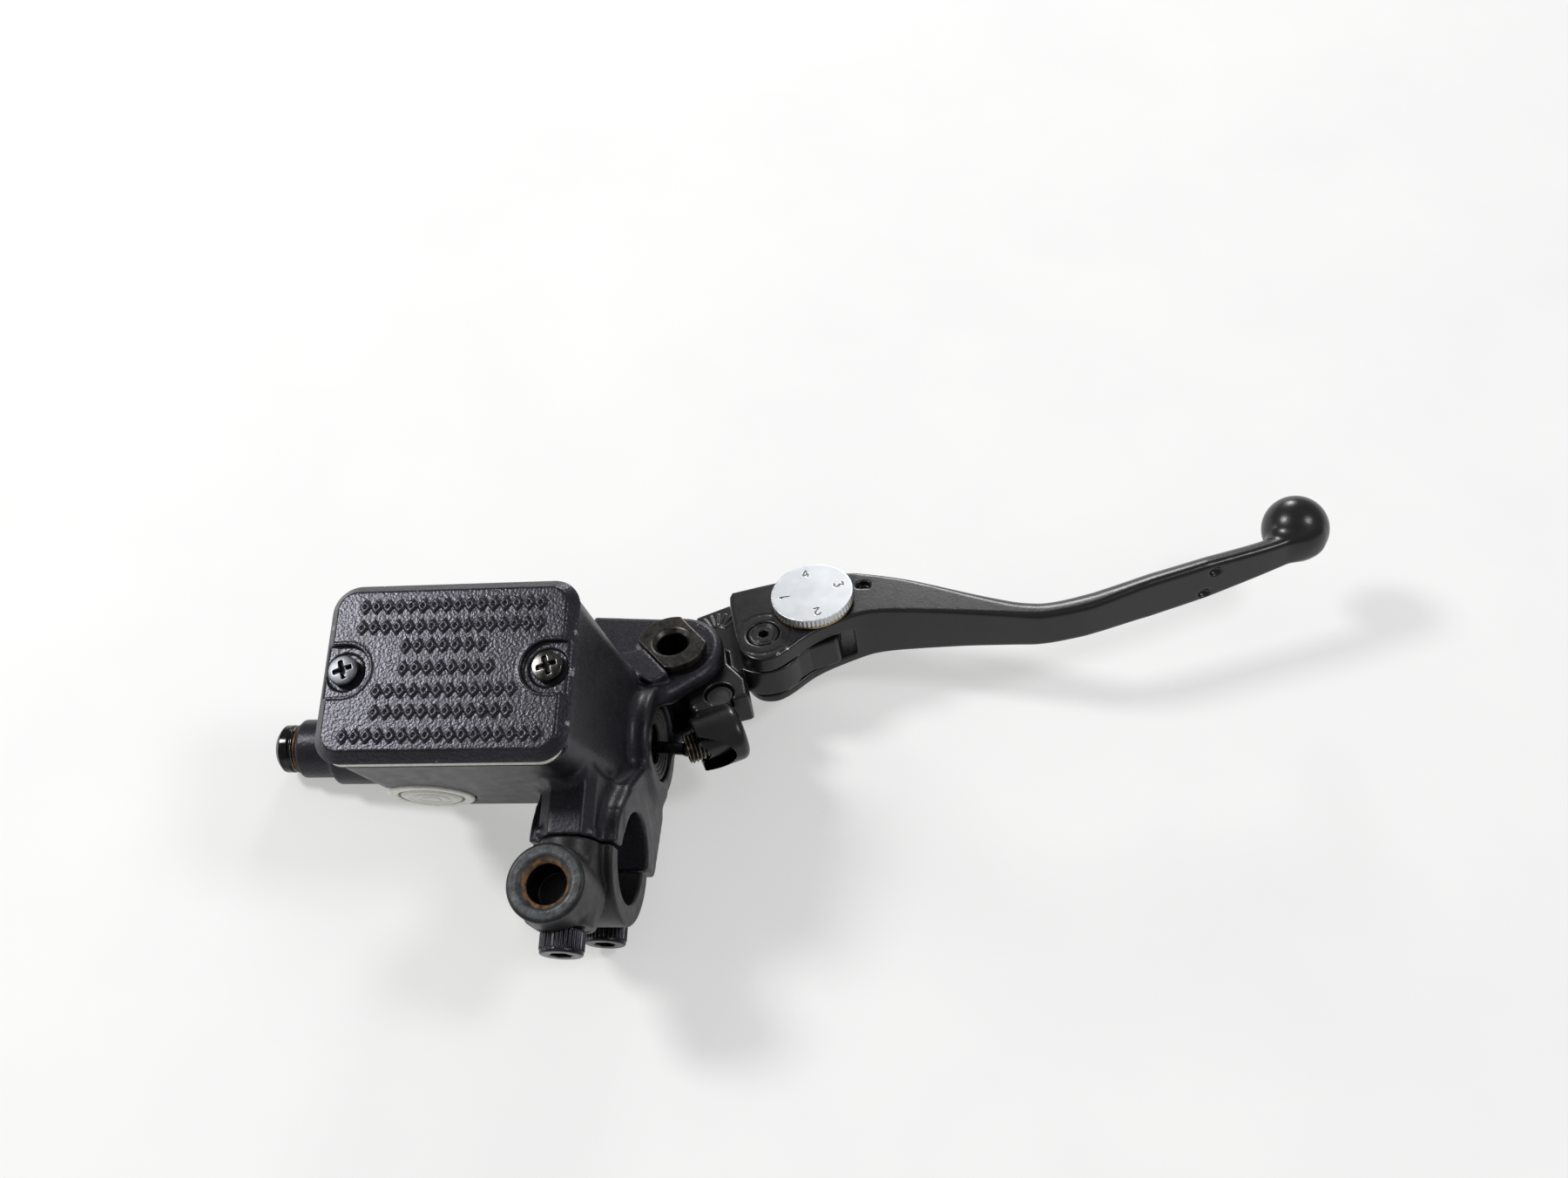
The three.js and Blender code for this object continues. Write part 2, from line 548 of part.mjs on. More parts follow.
const FAR_EDGE = [[24.6, 83.8], [36, 87.2], [47, 89.6], [57, 90.2], [70, 88.8], [82.5, 85.9], [95, 83], [104, 81.6],
  [111, 82.3], [122, 86.2], [139, 93], [152, 98.4], [163, 103.4], [168, 106.6]];
const NEAR_EDGE = [[180, 106], [178, 104.2], [167, 98.2], [149, 90], [133, 83.1], [121.5, 77.8], [115, 75.7],
  [107, 74.1], [99, 74.5], [87, 75.2], [75, 75.5], [66, 75.3], [60, 74], [52, 69.9], [47, 66.4], [42.8, 62],
  [40.2, 59.6], [37.4, 58.2], [33.6, 58.5], [30.4, 61.1], [28.5, 65.4], [25.2, 77], [24.2, 82]];
const HALF_HEIGHT = [[58, 8.2], [74, 7.3], [87, 6.5], [107, 5.6], [121, 5.5], [135, 6.2], [150, 6], [167, 4.6],
  [184, 3.6]];

const splinePoints = (points) => points.map(([x, y]) => new THREE.Vector2(x, y));

function bladeSolid() {
  const shape = new THREE.Shape();
  shape.moveTo(...FAR_EDGE[0]);
  shape.splineThru(splinePoints(FAR_EDGE.slice(1)));
  shape.lineTo(...NEAR_EDGE[0]);
  shape.splineThru(splinePoints(NEAR_EDGE.slice(1)));
  const slab = plate(shape, -10, 10, 2);
  const side = new THREE.Shape();
  side.moveTo(10, -BLADE_HALF_HEIGHT);
  HALF_HEIGHT.forEach(([x, height]) => side.lineTo(x, -height));
  [...HALF_HEIGHT].reverse().forEach(([x, height]) => side.lineTo(x, height));
  side.lineTo(10, BLADE_HALF_HEIGHT);
  const profile = new THREE.ExtrudeGeometry(side, { depth: 80, bevelEnabled: false });
  profile.rotateX(Math.PI / 2).translate(0, 125, 0);
  return join(common(slab, profile), new THREE.SphereGeometry(BALL_RADIUS, 22, 14).translate(...BALL, 0));
}

function leverBlade() {
  const fork = box([10, FORK_END], [40, 110], [FORK_BOTTOM, FORK_TOP]);
  const screwHole = turnedZ(rod(-12, 12, 4.4), ...BLADE_PIVOT, 28);
  const wheelHole = turnedZ(rod(0, 12, 4.3), ...WHEEL, 28);
  const wheelFoot = turnedZ(rod(FORK_BOTTOM - 1.4, 0, 3.3), ...WHEEL, 24);
  const detent = turnedZ(rod(4.4, 12, 1.5), WHEEL[0] + 7.4, WHEEL[1] + 3, 16);
  const index = turnedZ([[7.5, 0], [7.5, 1.9], [12, 1.9], [12, 0]], 60.3, 85, 16);
  return cut(bladeSolid(), fork, screwHole, wheelHole, wheelFoot, detent, index);
}

function bladeScrew() {
  const top = BLADE_HALF_HEIGHT - 0.1;
  const body = turnedZ([[-8, 0], [-8, 4.1], [top - 0.2, 4.1], [top, 3.9], [top, 0]], ...BLADE_PIVOT, 28);
  return cut(body, turnedZ(rod(top - 2.6, top + 1, 1.5), ...BLADE_PIVOT, 6));
}

function adjusterWheel() {
  const low = BLADE_HALF_HEIGHT + GAP;
  const high = low + WHEEL_HEIGHT;
  const knurl = new THREE.Shape();
  const teeth = 32;
  for (let i = 0; i < 2 * teeth; i += 1) {
    const angle = (i / teeth) * Math.PI;
    const radius = WHEEL_RADIUS - (i % 2 ? 0.35 : 0);
    knurl.lineTo(radius * Math.cos(angle), radius * Math.sin(angle));
  }
  const rim = plate(knurl, low + 0.5, high - 0.3);
  const lip = turnedZ(rod(low, low + 0.7, WHEEL_RADIUS - 0.2), 0, 0, 40);
  const face = turnedZ(rod(high - 0.5, high, WHEEL_RADIUS - 0.5), 0, 0, 40);
  const well = turnedZ(rod(low - 1, low + 1.4, 2.9), 0, 0, 6);
  return cut(join(rim, lip, face), well).translate(...WHEEL, 0);
}

// A spiral cam: its radius grows by CAM_RISE each quarter turn, and the step is on the side away
// from the tongue.
function adjusterCam() {
  const shape = new THREE.Shape();
  const steps = 36;
  for (let i = 0; i <= steps; i += 1) {
    const turn = i / steps;
    const angle = -90 * DEG + (turn - 0.62) * 2 * Math.PI;
    const radius = CAM_RADIUS + CAM_RISE * 4 * (turn - 0.62);
    shape.lineTo(radius * Math.cos(angle), radius * Math.sin(angle));
  }
  const disc = plate(shape, FORK_BOTTOM + GAP, FORK_TOP - GAP);
  const neck = turnedZ(rod(FORK_TOP - 1, BLADE_HALF_HEIGHT, 4), 0, 0, 28);
  const foot = turnedZ(rod(FORK_BOTTOM - 1.1, 0, 3), 0, 0, 24);
  const square = turnedZ(rod(BLADE_HALF_HEIGHT - 1, BLADE_HALF_HEIGHT + 1.3, 2.6), 0, 0, 6);
  return join(disc, neck, foot, square).translate(...WHEEL, 0);
}

// ---------- the assembly ----------

add('body_casting', bodyCasting(), castBlack());
add('reservoir_cap', reservoirCap(), castBlack());
add('diaphragm_plate', diaphragmPlate(), finish(0xd9d6cc, 0.6, 0));
add('diaphragm', diaphragm(), rubber());
capScrewAxes().forEach((x, i) => {
  add(['cap_screw_left', 'cap_screw_right'][i], capScrew(x), i ? blackSteel() : brightSteel());
});
add('sight_glass_ring', onFrontWall(turnedY(tube(-0.5, 1.6, 8.2, SIGHT_RADIUS), 0, 0)), finish(0xcfcdc6, 0.5, 0.1));
add('sight_glass', onFrontWall(turnedY([[-0.9, 0], [-0.6, 7.6], [4.5, 7.6], [4.5, 0]], 0, 0)),
  finish(0xe6e3d8, 0.25, 0));

add('clamp_cap', clampCap(), castBlack());
add('clamp_screw_upper', clampScrew(UPPER_SEAT, CLAMP_SCREW_SPACING / 2), blackSteel());
add('clamp_screw_lower', clampScrew(LOWER_SEAT, -CLAMP_SCREW_SPACING / 2), blackSteel());

const outletAt = (points) => turnedX(points, CYLINDER_Y, CYLINDER_Z);
add('outlet_washer', outletAt(tube(OUTLET_X - 1.2, OUTLET_X - GAP, 5, 6.6)), finish(0x8a4b2c, 0.5, 0.8));
add('outlet_union', outletAt([[OUTLET_X - 6.4, 3.6], [OUTLET_X - 6.4, 4.8], [OUTLET_X - 5.2, 6.3],
  [OUTLET_X - 1.5, 6.3], [OUTLET_X - 1.5, 4.7], [OUTLET_X + 7.6, 4.7], [OUTLET_X + 7.6, 2.6],
  [OUTLET_X + 2, 2.6], [OUTLET_X + 2, 3.6], [OUTLET_X - 6.4, 3.6]]), blackSteel());

add('piston', piston(), finish(0xa9adb2, 0.3, 0.9));
add('primary_cup', cupSeal(-32.9 + 0.1, 3.5, 3), rubber());
add('secondary_cup', cupSeal(-1.8, 4.7, 3.3), rubber());
add('piston_washer', turnedX(tube(3.7, 4.9, 5, 8.2), CYLINDER_Y, CYLINDER_Z), brightSteel());
add('circlip', circlip(), brightSteel());
add('return_spring', helix(5.2, 0.4, BORE_END + 0.8, -36.7, 4).translate(0, CYLINDER_Y, CYLINDER_Z), brightSteel());
add('dust_boot', dustBoot(), rubber());

const inLever = (name, geometry, material) => add(name, geometry, material, leverFrame);
inLever('pivot_pin', pivotPin(), blackSteel());
inLever('pivot_nut', cut(turnedZ(rod(-15.4, -LUG_OUTER - GAP, 9), ...PIVOT, 6),
  turnedZ(rod(-20, 0, PIVOT_RADIUS + GAP), ...PIVOT)), brightSteel());
inLever('pivot_bush', turnedZ(tube(-4.8, 4.8, PIVOT_RADIUS + GAP, 6.3), ...PIVOT), finish(0xa5823e, 0.4, 0.9));
inLever('lever_carrier', leverCarrier(), leverBlack());
inLever('lock_pin', lockPin(), rubber());
inLever('adjuster_screw', adjusterScrew(), blackSteel());
inLever('pushrod', pushrod(), brightSteel());
inLever('blade_bush', turnedZ(tube(FORK_BOTTOM + GAP, FORK_TOP - GAP, 4.4, 4.7), ...BLADE_PIVOT),
  finish(0xa5823e, 0.4, 0.9));
inLever('lever_blade', leverBlade(), leverBlack());
inLever('blade_pivot_screw', bladeScrew(), blackSteel());
inLever('adjuster_wheel', adjusterWheel(), finish(0xc9ced2, 0.3, 0.9));
inLever('adjuster_cam', adjusterCam(), brightSteel());
inLever('detent_ball', new THREE.SphereGeometry(1.2, 10, 6).translate(WHEEL[0] + 7.4, WHEEL[1] + 3, 7.1),
  brightSteel());
inLever('detent_spring', helix(0.85, 0.25, 4.6, 5.7, 1.5).rotateY(-Math.PI / 2)
  .translate(WHEEL[0] + 7.4, WHEEL[1] + 3, 0), brightSteel());

export default model;
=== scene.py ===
"""A used motorcycle brake master cylinder with its lever, lying on a pale table.

Each visible piece is drawn as a signed-distance field in millimetres, built from rods, boxes and outlines
that are joined and cut with rounded edges, and meshed by surface nets. Lever pieces are drawn in the
lever's own plane, which is tilted about the bar's axis. The hidden pieces keep their CAD meshes, all but the
return spring, which is wound here, and they have finishes of their own.
"""
import json
import math

import bpy
import numpy as np
from mathutils import Matrix, Vector

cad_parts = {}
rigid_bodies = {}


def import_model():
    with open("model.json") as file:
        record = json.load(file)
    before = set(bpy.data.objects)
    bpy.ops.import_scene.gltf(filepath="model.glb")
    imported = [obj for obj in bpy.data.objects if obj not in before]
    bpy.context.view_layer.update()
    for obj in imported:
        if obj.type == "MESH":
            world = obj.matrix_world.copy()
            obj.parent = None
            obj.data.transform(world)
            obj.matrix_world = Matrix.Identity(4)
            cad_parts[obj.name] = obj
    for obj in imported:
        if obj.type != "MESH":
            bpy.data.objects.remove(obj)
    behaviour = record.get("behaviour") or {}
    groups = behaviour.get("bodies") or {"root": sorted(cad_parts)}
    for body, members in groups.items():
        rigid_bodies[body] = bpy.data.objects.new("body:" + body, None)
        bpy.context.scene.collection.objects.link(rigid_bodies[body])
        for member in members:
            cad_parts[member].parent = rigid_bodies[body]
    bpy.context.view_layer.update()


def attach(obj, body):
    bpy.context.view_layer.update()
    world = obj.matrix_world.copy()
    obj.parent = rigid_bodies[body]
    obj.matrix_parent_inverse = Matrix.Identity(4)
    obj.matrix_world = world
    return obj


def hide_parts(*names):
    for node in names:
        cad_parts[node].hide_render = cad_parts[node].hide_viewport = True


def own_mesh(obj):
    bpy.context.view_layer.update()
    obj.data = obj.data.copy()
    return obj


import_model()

MM = 0.001
TILT = math.radians(24)
TILT_COS, TILT_SIN = math.cos(TILT), math.sin(TILT)
CYL_REACH = 36.9
CYL_Y, CYL_Z = CYL_REACH * TILT_COS, -CYL_REACH * TILT_SIN
LID_X = -25.5
LID_TOP = 44.0
SCREW_OFFSET = 24.75
SCREWS_X = (LID_X - SCREW_OFFSET, LID_X + SCREW_OFFSET)
BAR_BORE = 11.1
CLAMP_BOLT_Z = 17
PIVOT = (12.6, 60.8)
BLADE_PIVOT = (35.3, 67.6)
WHEEL = (47.5, 79.1)
BALL = (174.0, 110.4)
BARREL_FACE = (20.9, 35.9)
BARREL_ANGLE = math.radians(26)
LOCK_PIN = (25.4, 49.6)
MIRROR = (-0.9, -13.2)
FORK = (-5.6, 3.4)

LEVER = Matrix.Rotation(-TILT, 4, "X")
ROW = Matrix.Identity(4)


# ---------- distance fields ----------

HEX_COS = 0.866


def hyp(a, b):
    return np.sqrt(a * a + b * b)


def hexagon(a, b, half_width):
    """A hexagonal prism, flat towards a."""
    slant, across = b * HEX_COS, a * 0.5
    return np.maximum(np.maximum(np.abs(a), np.abs(slant + across)), np.abs(slant - across)) - half_width


def union(a, b, r=0.0):
    """The two solids joined, with a fillet of radius r."""
    if np.isscalar(r) and r == 0:
        return np.minimum(a, b)
    return np.maximum(r, np.minimum(a, b)) - hyp(np.maximum(r - a, 0), np.maximum(r - b, 0))


def common(a, b, r=0.0):
    """What the two solids share, with its edges rounded to radius r."""
    return -union(-a, -b, r)


def minus(a, b, r=0.0):
    return common(a, -b, r)


def slab(t, low, high):
    return np.abs(t - (low + high) / 2) - (high - low) / 2


def rod(u, v, t, radius, low, high, r=0.3):
    """A round rod along t, centred on u = v = 0."""
    return common(hyp(u, v) - radius, slab(t, low, high), r)


def block(x, y, z, xs, ys, zs, r=0.3):
    """A box between the pairs xs, ys and zs, its edges rounded to radius r."""
    q = [slab(t, *ends) + r for t, ends in zip((x, y, z), (xs, ys, zs))]
    out = np.sqrt(sum(np.maximum(t, 0) ** 2 for t in q))
    return out + np.minimum(np.maximum(np.maximum(q[0], q[1]), q[2]), 0) - r


def round_rect(x, y, half_x, half_y, radius):
    qx, qy = np.abs(x) - half_x + radius, np.abs(y) - half_y + radius
    return hyp(np.maximum(qx, 0), np.maximum(qy, 0)) + np.minimum(np.maximum(qx, qy), 0) - radius


def spun(x, y, angle):
    """The coordinates seen from axes turned by angle."""
    c, s = math.cos(angle), math.sin(angle)
    return x * c + y * s, y * c - x * s


class Plan:
    """The signed distance to a closed outline, looked up from a fine grid."""

    STEP = 0.25

    def __init__(self, points, margin=8.0):
        pts = np.array(points, float)
        self.low = pts.min(0) - margin
        size = np.ceil((pts.max(0) + margin - self.low) / self.STEP).astype(int) + 2
        gx = self.low[0] + np.arange(size[0]) * self.STEP
        gy = self.low[1] + np.arange(size[1]) * self.STEP
        x, y = np.meshgrid(gx, gy, indexing="ij")
        best = np.full(x.shape, 1e9)
        inside = np.zeros(x.shape, bool)
        for (ax, ay), (bx, by) in zip(pts, np.roll(pts, -1, 0)):
            ex, ey = bx - ax, by - ay
            if ex * ex + ey * ey < 1e-12:
                continue
            t = np.clip(((x - ax) * ex + (y - ay) * ey) / (ex * ex + ey * ey), 0, 1)
            best = np.minimum(best, (x - ax - t * ex) ** 2 + (y - ay - t * ey) ** 2)
            if ay != by:
                inside ^= ((ay > y) != (by > y)) & (x < ax + ex * (y - ay) / ey)
        self.grid = np.where(inside, -1, 1) * np.sqrt(best)

    def __call__(self, x, y):
        u, v = (x - self.low[0]) / self.STEP, (y - self.low[1]) / self.STEP
        cu = np.clip(u, 0, self.grid.shape[0] - 1.001)
        cv = np.clip(v, 0, self.grid.shape[1] - 1.001)
        i, j = cu.astype(int), cv.astype(int)
        a, b = cu - i, cv - j
        g = self.grid
        near = (g[i, j] * (1 - a) * (1 - b) + g[i + 1, j] * a * (1 - b)
                + g[i, j + 1] * (1 - a) * b + g[i + 1, j + 1] * a * b)
        return near + hyp(u - cu, v - cv) * self.STEP


def arc(centre, radius, start, end, steps=16):
    """Points along an arc, its angles in degrees."""
    angles = np.radians(np.linspace(start, end, steps + 1))
    return [(centre[0] + radius * math.cos(a), centre[1] + radius * math.sin(a)) for a in angles]


def smooth_line(points, steps=6):
    """A Catmull-Rom curve through the points."""
    p = np.array([points[0], *points, points[-1]], float)
    line = []
    for i in range(len(points) - 1):
        a, b, c, d = p[i:i + 4]
        for t in np.arange(steps) / steps:
            line.append(tuple(0.5 * (2 * b + (c - a) * t + (2 * a - 5 * b + 4 * c - d) * t ** 2
                                     + (3 * b - a - 3 * c + d) * t ** 3)))
    return [*line, tuple(points[-1])]


# ---------- surface nets ----------

BLOCK = 4
CORNERS = [(i, j, k) for i in (0, 1) for j in (0, 1) for k in (0, 1)]


def sampled(field, low, high, step):
    """The field on a grid, worked out only in the blocks near the surface."""
    low = np.array(low, float)
    count = np.ceil((np.array(high) - low) / step / BLOCK).astype(int) + 1
    axes = [low[i] + (np.arange(count[i]) * BLOCK + (BLOCK - 1) / 2) * step for i in range(3)]
    middle = field(*np.meshgrid(*axes, indexing="ij"))
    near = np.argwhere(np.abs(middle) < 1.35 * BLOCK * step)
    signs = np.where(middle < 0, -9.0, 9.0).astype(np.float32)
    grid = np.repeat(np.repeat(np.repeat(signs, BLOCK, 0), BLOCK, 1), BLOCK, 2)
    inner = np.arange(BLOCK)
    offset = np.stack(np.meshgrid(inner, inner, inner, indexing="ij"), -1)
    place = near[:, None, None, None, :] * BLOCK + offset
    at = low + place * step
    values = field(at[..., 0], at[..., 1], at[..., 2])
    grid[place[..., 0], place[..., 1], place[..., 2]] = values
    return grid, low


def nets(field, low, high, step):
    """Vertices and four-sided faces of the field's zero surface."""
    grid, low = sampled(field, low, high, step)
    inside = grid < 0
    shape = np.array(grid.shape) - 1
    total = np.zeros(shape, np.uint8)
    for i, j, k in CORNERS:
        total += inside[i:i + shape[0], j:j + shape[1], k:k + shape[2]]
    cells = np.argwhere((total > 0) & (total < 8))
    value = {c: grid[cells[:, 0] + c[0], cells[:, 1] + c[1], cells[:, 2] + c[2]] for c in CORNERS}
    place = np.zeros((len(cells), 3))
    crossings = np.zeros(len(cells))
    for a in CORNERS:
        for axis in range(3):
            if a[axis]:
                continue
            b = tuple(1 if n == axis else a[n] for n in range(3))
            hit = (value[a] < 0) != (value[b] < 0)
            t = np.where(hit, value[a] / np.where(hit, value[a] - value[b], 1), 0)
            for n in range(3):
                place[:, n] += hit * (t if n == axis else a[n])
            crossings += hit
    points = low + (cells + place / crossings[:, None]) * step
    number = np.full(shape, -1, np.int32)
    number[cells[:, 0], cells[:, 1], cells[:, 2]] = np.arange(len(cells))
    faces = []
    for axis in range(3):
        b, c = (axis + 1) % 3, (axis + 2) % 3
        here = [slice(None)] * 3
        there = [slice(None)] * 3
        here[axis], there[axis] = slice(0, -1), slice(1, None)
        edge = inside[tuple(here)] != inside[tuple(there)]
        at = np.argwhere(edge)
        at = at[(at[:, b] > 0) & (at[:, c] > 0) & (at[:, b] < shape[b]) & (at[:, c] < shape[c])]
        corner = []
        for db, dc in ((-1, -1), (0, -1), (0, 0), (-1, 0)):
            cell = at.copy()
            cell[:, b] += db
            cell[:, c] += dc
            corner.append(number[cell[:, 0], cell[:, 1], cell[:, 2]])
        quads = np.stack(corner, 1)
        leaving = inside[at[:, 0], at[:, 1], at[:, 2]]
        faces.append(np.where(leaving[:, None], quads, quads[:, ::-1]))
    return points, np.concatenate(faces)


def slope(field, points, reach):
    """The field's value and its unit gradient at points."""
    x, y, z = points.T
    here = field(x, y, z)
    g = np.stack([field(x + reach, y, z) - field(x - reach, y, z),
                  field(x, y + reach, z) - field(x, y - reach, z),
                  field(x, y, z + reach) - field(x, y, z - reach)], 1) / (2 * reach)
    size = np.linalg.norm(g, axis=1)
    return here, g / np.maximum(size, 1e-6)[:, None], size


def in_scene(name, data):
    """A new object for the data, linked to the scene."""
    made = bpy.data.objects.new(name, data)
    bpy.context.scene.collection.objects.link(made)
    return made


def fill_mesh(mesh, points, faces):
    mesh.vertices.add(len(points))
    mesh.vertices.foreach_set("co", points.astype(np.float32).ravel())
    mesh.loops.add(faces.size)
    mesh.loops.foreach_set("vertex_index", faces.astype(np.int32).ravel())
    mesh.polygons.add(len(faces))
    mesh.polygons.foreach_set("loop_start", np.arange(len(faces), dtype=np.int32) * faces.shape[1])
    mesh.update(calc_edges=True)
    mesh.shade_smooth()


def grow(name, field, low, high, step, material, body, nodes=(), place=ROW, wear=1.0):
    """Meshes a field as a piece: place takes its own millimetres to the row frame's."""
    points, faces = nets(field, low, high, step)
    here, normal, size = slope(field, points, step * 0.25)
    move = np.clip(here / np.maximum(size, 0.5), -0.5 * step, 0.5 * step)
    points = points - normal * move[:, None]
    # edge marks convex edges, for wear and a painted highlight; cave marks hollows, for painted shade
    inner = points - normal * wear
    outer = points + normal * wear
    edge = np.clip((field(*inner.T) + wear) / wear, 0, 1)
    cave = np.clip((wear - field(*outer.T)) / wear, 0, 1)
    turn = np.array(place.to_3x3())
    world = (points @ turn.T + np.array(place.translation)) * MM
    mesh = bpy.data.meshes.new(name)
    fill_mesh(mesh, world, faces)
    for key, data in (("edge", edge), ("cave", cave)):
        layer = mesh.attributes.new(key, "FLOAT", "POINT")
        layer.data.foreach_set("value", data.astype(np.float32))
    piece = in_scene(name, mesh)
    mesh.materials.append(material)
    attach(piece, body)
    if nodes:
        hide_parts(*nodes)
    print("piece", name, len(points), len(faces))
    return piece


# ---------- materials ----------

class Nodes:
    """A short way to write a material's node tree."""

    def __init__(self, name):
        self.material = bpy.data.materials.new(name)
        self.material.use_nodes = True
        self.tree = self.material.node_tree
        self.shader = self.tree.nodes["Principled BSDF"]
        self.where = self.tree.nodes.new("ShaderNodeTexCoord").outputs["Object"]

    def node(self, kind, settings=None, **inputs):
        made = self.tree.nodes.new("ShaderNode" + kind)
        for key, value in (settings or {}).items():
            setattr(made, key, value)
        for key, value in inputs.items():
            self.put(made.inputs[key.replace("_", " ")], value)
        return made

    def put(self, socket, value):
        if isinstance(value, bpy.types.NodeSocket):
            self.tree.links.new(value, socket)
        elif isinstance(value, (tuple, list)) and len(value) == 3 and socket.type == "RGBA":
            socket.default_value = (*value, 1)
        else:
            socket.default_value = value

    def noise(self, size_mm, detail=3.0, rough=0.55, where=None):
        """Noise whose blobs are about size_mm across, 0 to 1."""
        made = self.node("TexNoise", Vector=where or self.where, Scale=1000 / size_mm, Detail=detail,
                         Roughness=rough)
        return made.outputs["Fac"]

    def ramp(self, value, low, high, out_low=0.0, out_high=1.0):
        made = self.node("MapRange", {"clamp": True}, Value=value)
        for key, number in (("From Min", low), ("From Max", high), ("To Min", out_low), ("To Max", out_high)):
            made.inputs[key].default_value = number
        return made.outputs["Result"]

    def math(self, operation, a, b=0.0, clamp=False):
        made = self.tree.nodes.new("ShaderNodeMath")
        made.operation = operation
        made.use_clamp = clamp
        self.put(made.inputs[0], a)
        self.put(made.inputs[1], b)
        return made.outputs[0]

    def both(self, a, b):
        return self.math("MULTIPLY", a, b, clamp=True)

    def distance(self, centre):
        """How far the surface is from a point of the row frame, in metres; the point is in mm."""
        away = self.node("VectorMath", {"operation": "DISTANCE"})
        self.put(away.inputs[0], self.where)
        away.inputs[1].default_value = [c * MM for c in centre]
        return away.outputs["Value"]

    def mix(self, amount, a, b):
        made = self.tree.nodes.new("ShaderNodeMix")
        made.data_type = "RGBA"
        self.put(made.inputs[0], amount)
        self.put(made.inputs[6], a)
        self.put(made.inputs[7], b)
        return made.outputs[2]

    def attribute(self, name):
        return self.node("Attribute", {"attribute_name": name}).outputs["Fac"]

    def spot(self, centre, radius, ragged=0.5):
        """1 near a point of the row frame, in mm, fading raggedly to 0 at radius."""
        near = self.ramp(self.distance(centre), radius * MM, radius * MM * 0.2)
        rough = self.ramp(self.noise(radius * 0.35, 4), 0.35, 0.65, 1 - ragged * 2, 1 + ragged)
        return self.both(near, rough)

    def bump(self, height, depth_mm, strength=1.0, normal=None):
        made = self.node("Bump", Height=height, Strength=strength, Distance=depth_mm * MM)
        if normal is not None:
            self.put(made.inputs["Normal"], normal)
        return made.outputs["Normal"]

    def finish(self, colour, roughness, metallic=0.0, normal=None, **constants):
        self.put(self.shader.inputs["Base Color"], colour)
        self.put(self.shader.inputs["Roughness"], roughness)
        self.put(self.shader.inputs["Metallic"], metallic)
        if normal is not None:
            self.put(self.shader.inputs["Normal"], normal)
        for key, value in constants.items():
            self.shader.inputs[key.replace("_", " ")].default_value = value
        return self.material


BARE = (0.3, 0.3, 0.31)
# near black: the painted shade for the hollows of the coatings
HOLLOW_SHADE_COLOUR = (0.002, 0.002, 0.002)


def coated(name, dark, pale, grain, grain_mm, rough, chips, spots=(), hollow_shade=0.25, specular=0.3, glint=0.3,
           ring=None, sheen=(1, 1, 1)):
    """Black coating, grainy, with painted glints on its grain, worn at its edges with a painted highlight
    along them, painted shade in its hollows, and chipped to bare metal; ring is what rusty_ring takes.
    """
    n = Nodes(name)
    broad = n.noise(9, 4)
    glint_noise = n.noise(grain, 4, 0.62)
    colour = n.mix(n.ramp(broad, 0.35, 0.65), dark, pale)
    # pale colour for the painted glints on the grain and for the worn edges with their painted highlight
    highlight_and_wear = tuple(c * 4 for c in pale)
    # painted glints: lighter specks on the grain, as strong as glint
    colour = n.mix(n.ramp(glint_noise, 0.5, 0.72, 0, glint), colour, highlight_and_wear)
    edge = n.attribute("edge")
    # edges lighter: worn there, and a painted highlight along them
    rub_and_edge_highlight = n.both(n.ramp(edge, 0.08, 0.5), n.ramp(n.noise(1.6, 5, 0.6), 0.35, 0.7))
    colour = n.mix(n.math("MULTIPLY", rub_and_edge_highlight, 0.5), colour, highlight_and_wear)
    chip = n.both(n.ramp(edge, 0.2, 0.4), n.ramp(n.noise(2.6, 5, 0.7), chips, chips + 0.06))
    for centre, radius in spots:
        chip = n.math("MAXIMUM", chip, n.ramp(n.spot(centre, radius), 0.35, 0.6))
    colour = n.mix(chip, colour, BARE)
    # hollows darkened towards near black: painted shade
    colour = n.mix(n.both(n.ramp(n.attribute("cave"), 0.25, 0.8), hollow_shade), colour, HOLLOW_SHADE_COLOUR)
    metal = n.math("MULTIPLY", chip, 0.75)
    roughness = n.ramp(n.noise(3.5, 5, 0.6), 0.3, 0.7, *rough)
    if ring:
        colour, metal = rusty_ring(n, colour, metal, *ring)
    rise = n.math("ADD", n.noise(grain, 1.2, 0.5), n.math("MULTIPLY", n.noise(grain * 0.4, 1), 0.12))
    normal = n.bump(rise, grain_mm, 0.9)
    return n.finish(colour, roughness, metal, normal, Specular_IOR_Level=specular,
                    Specular_Tint=(*sheen, 1))


HOLE_DEPTH = 9


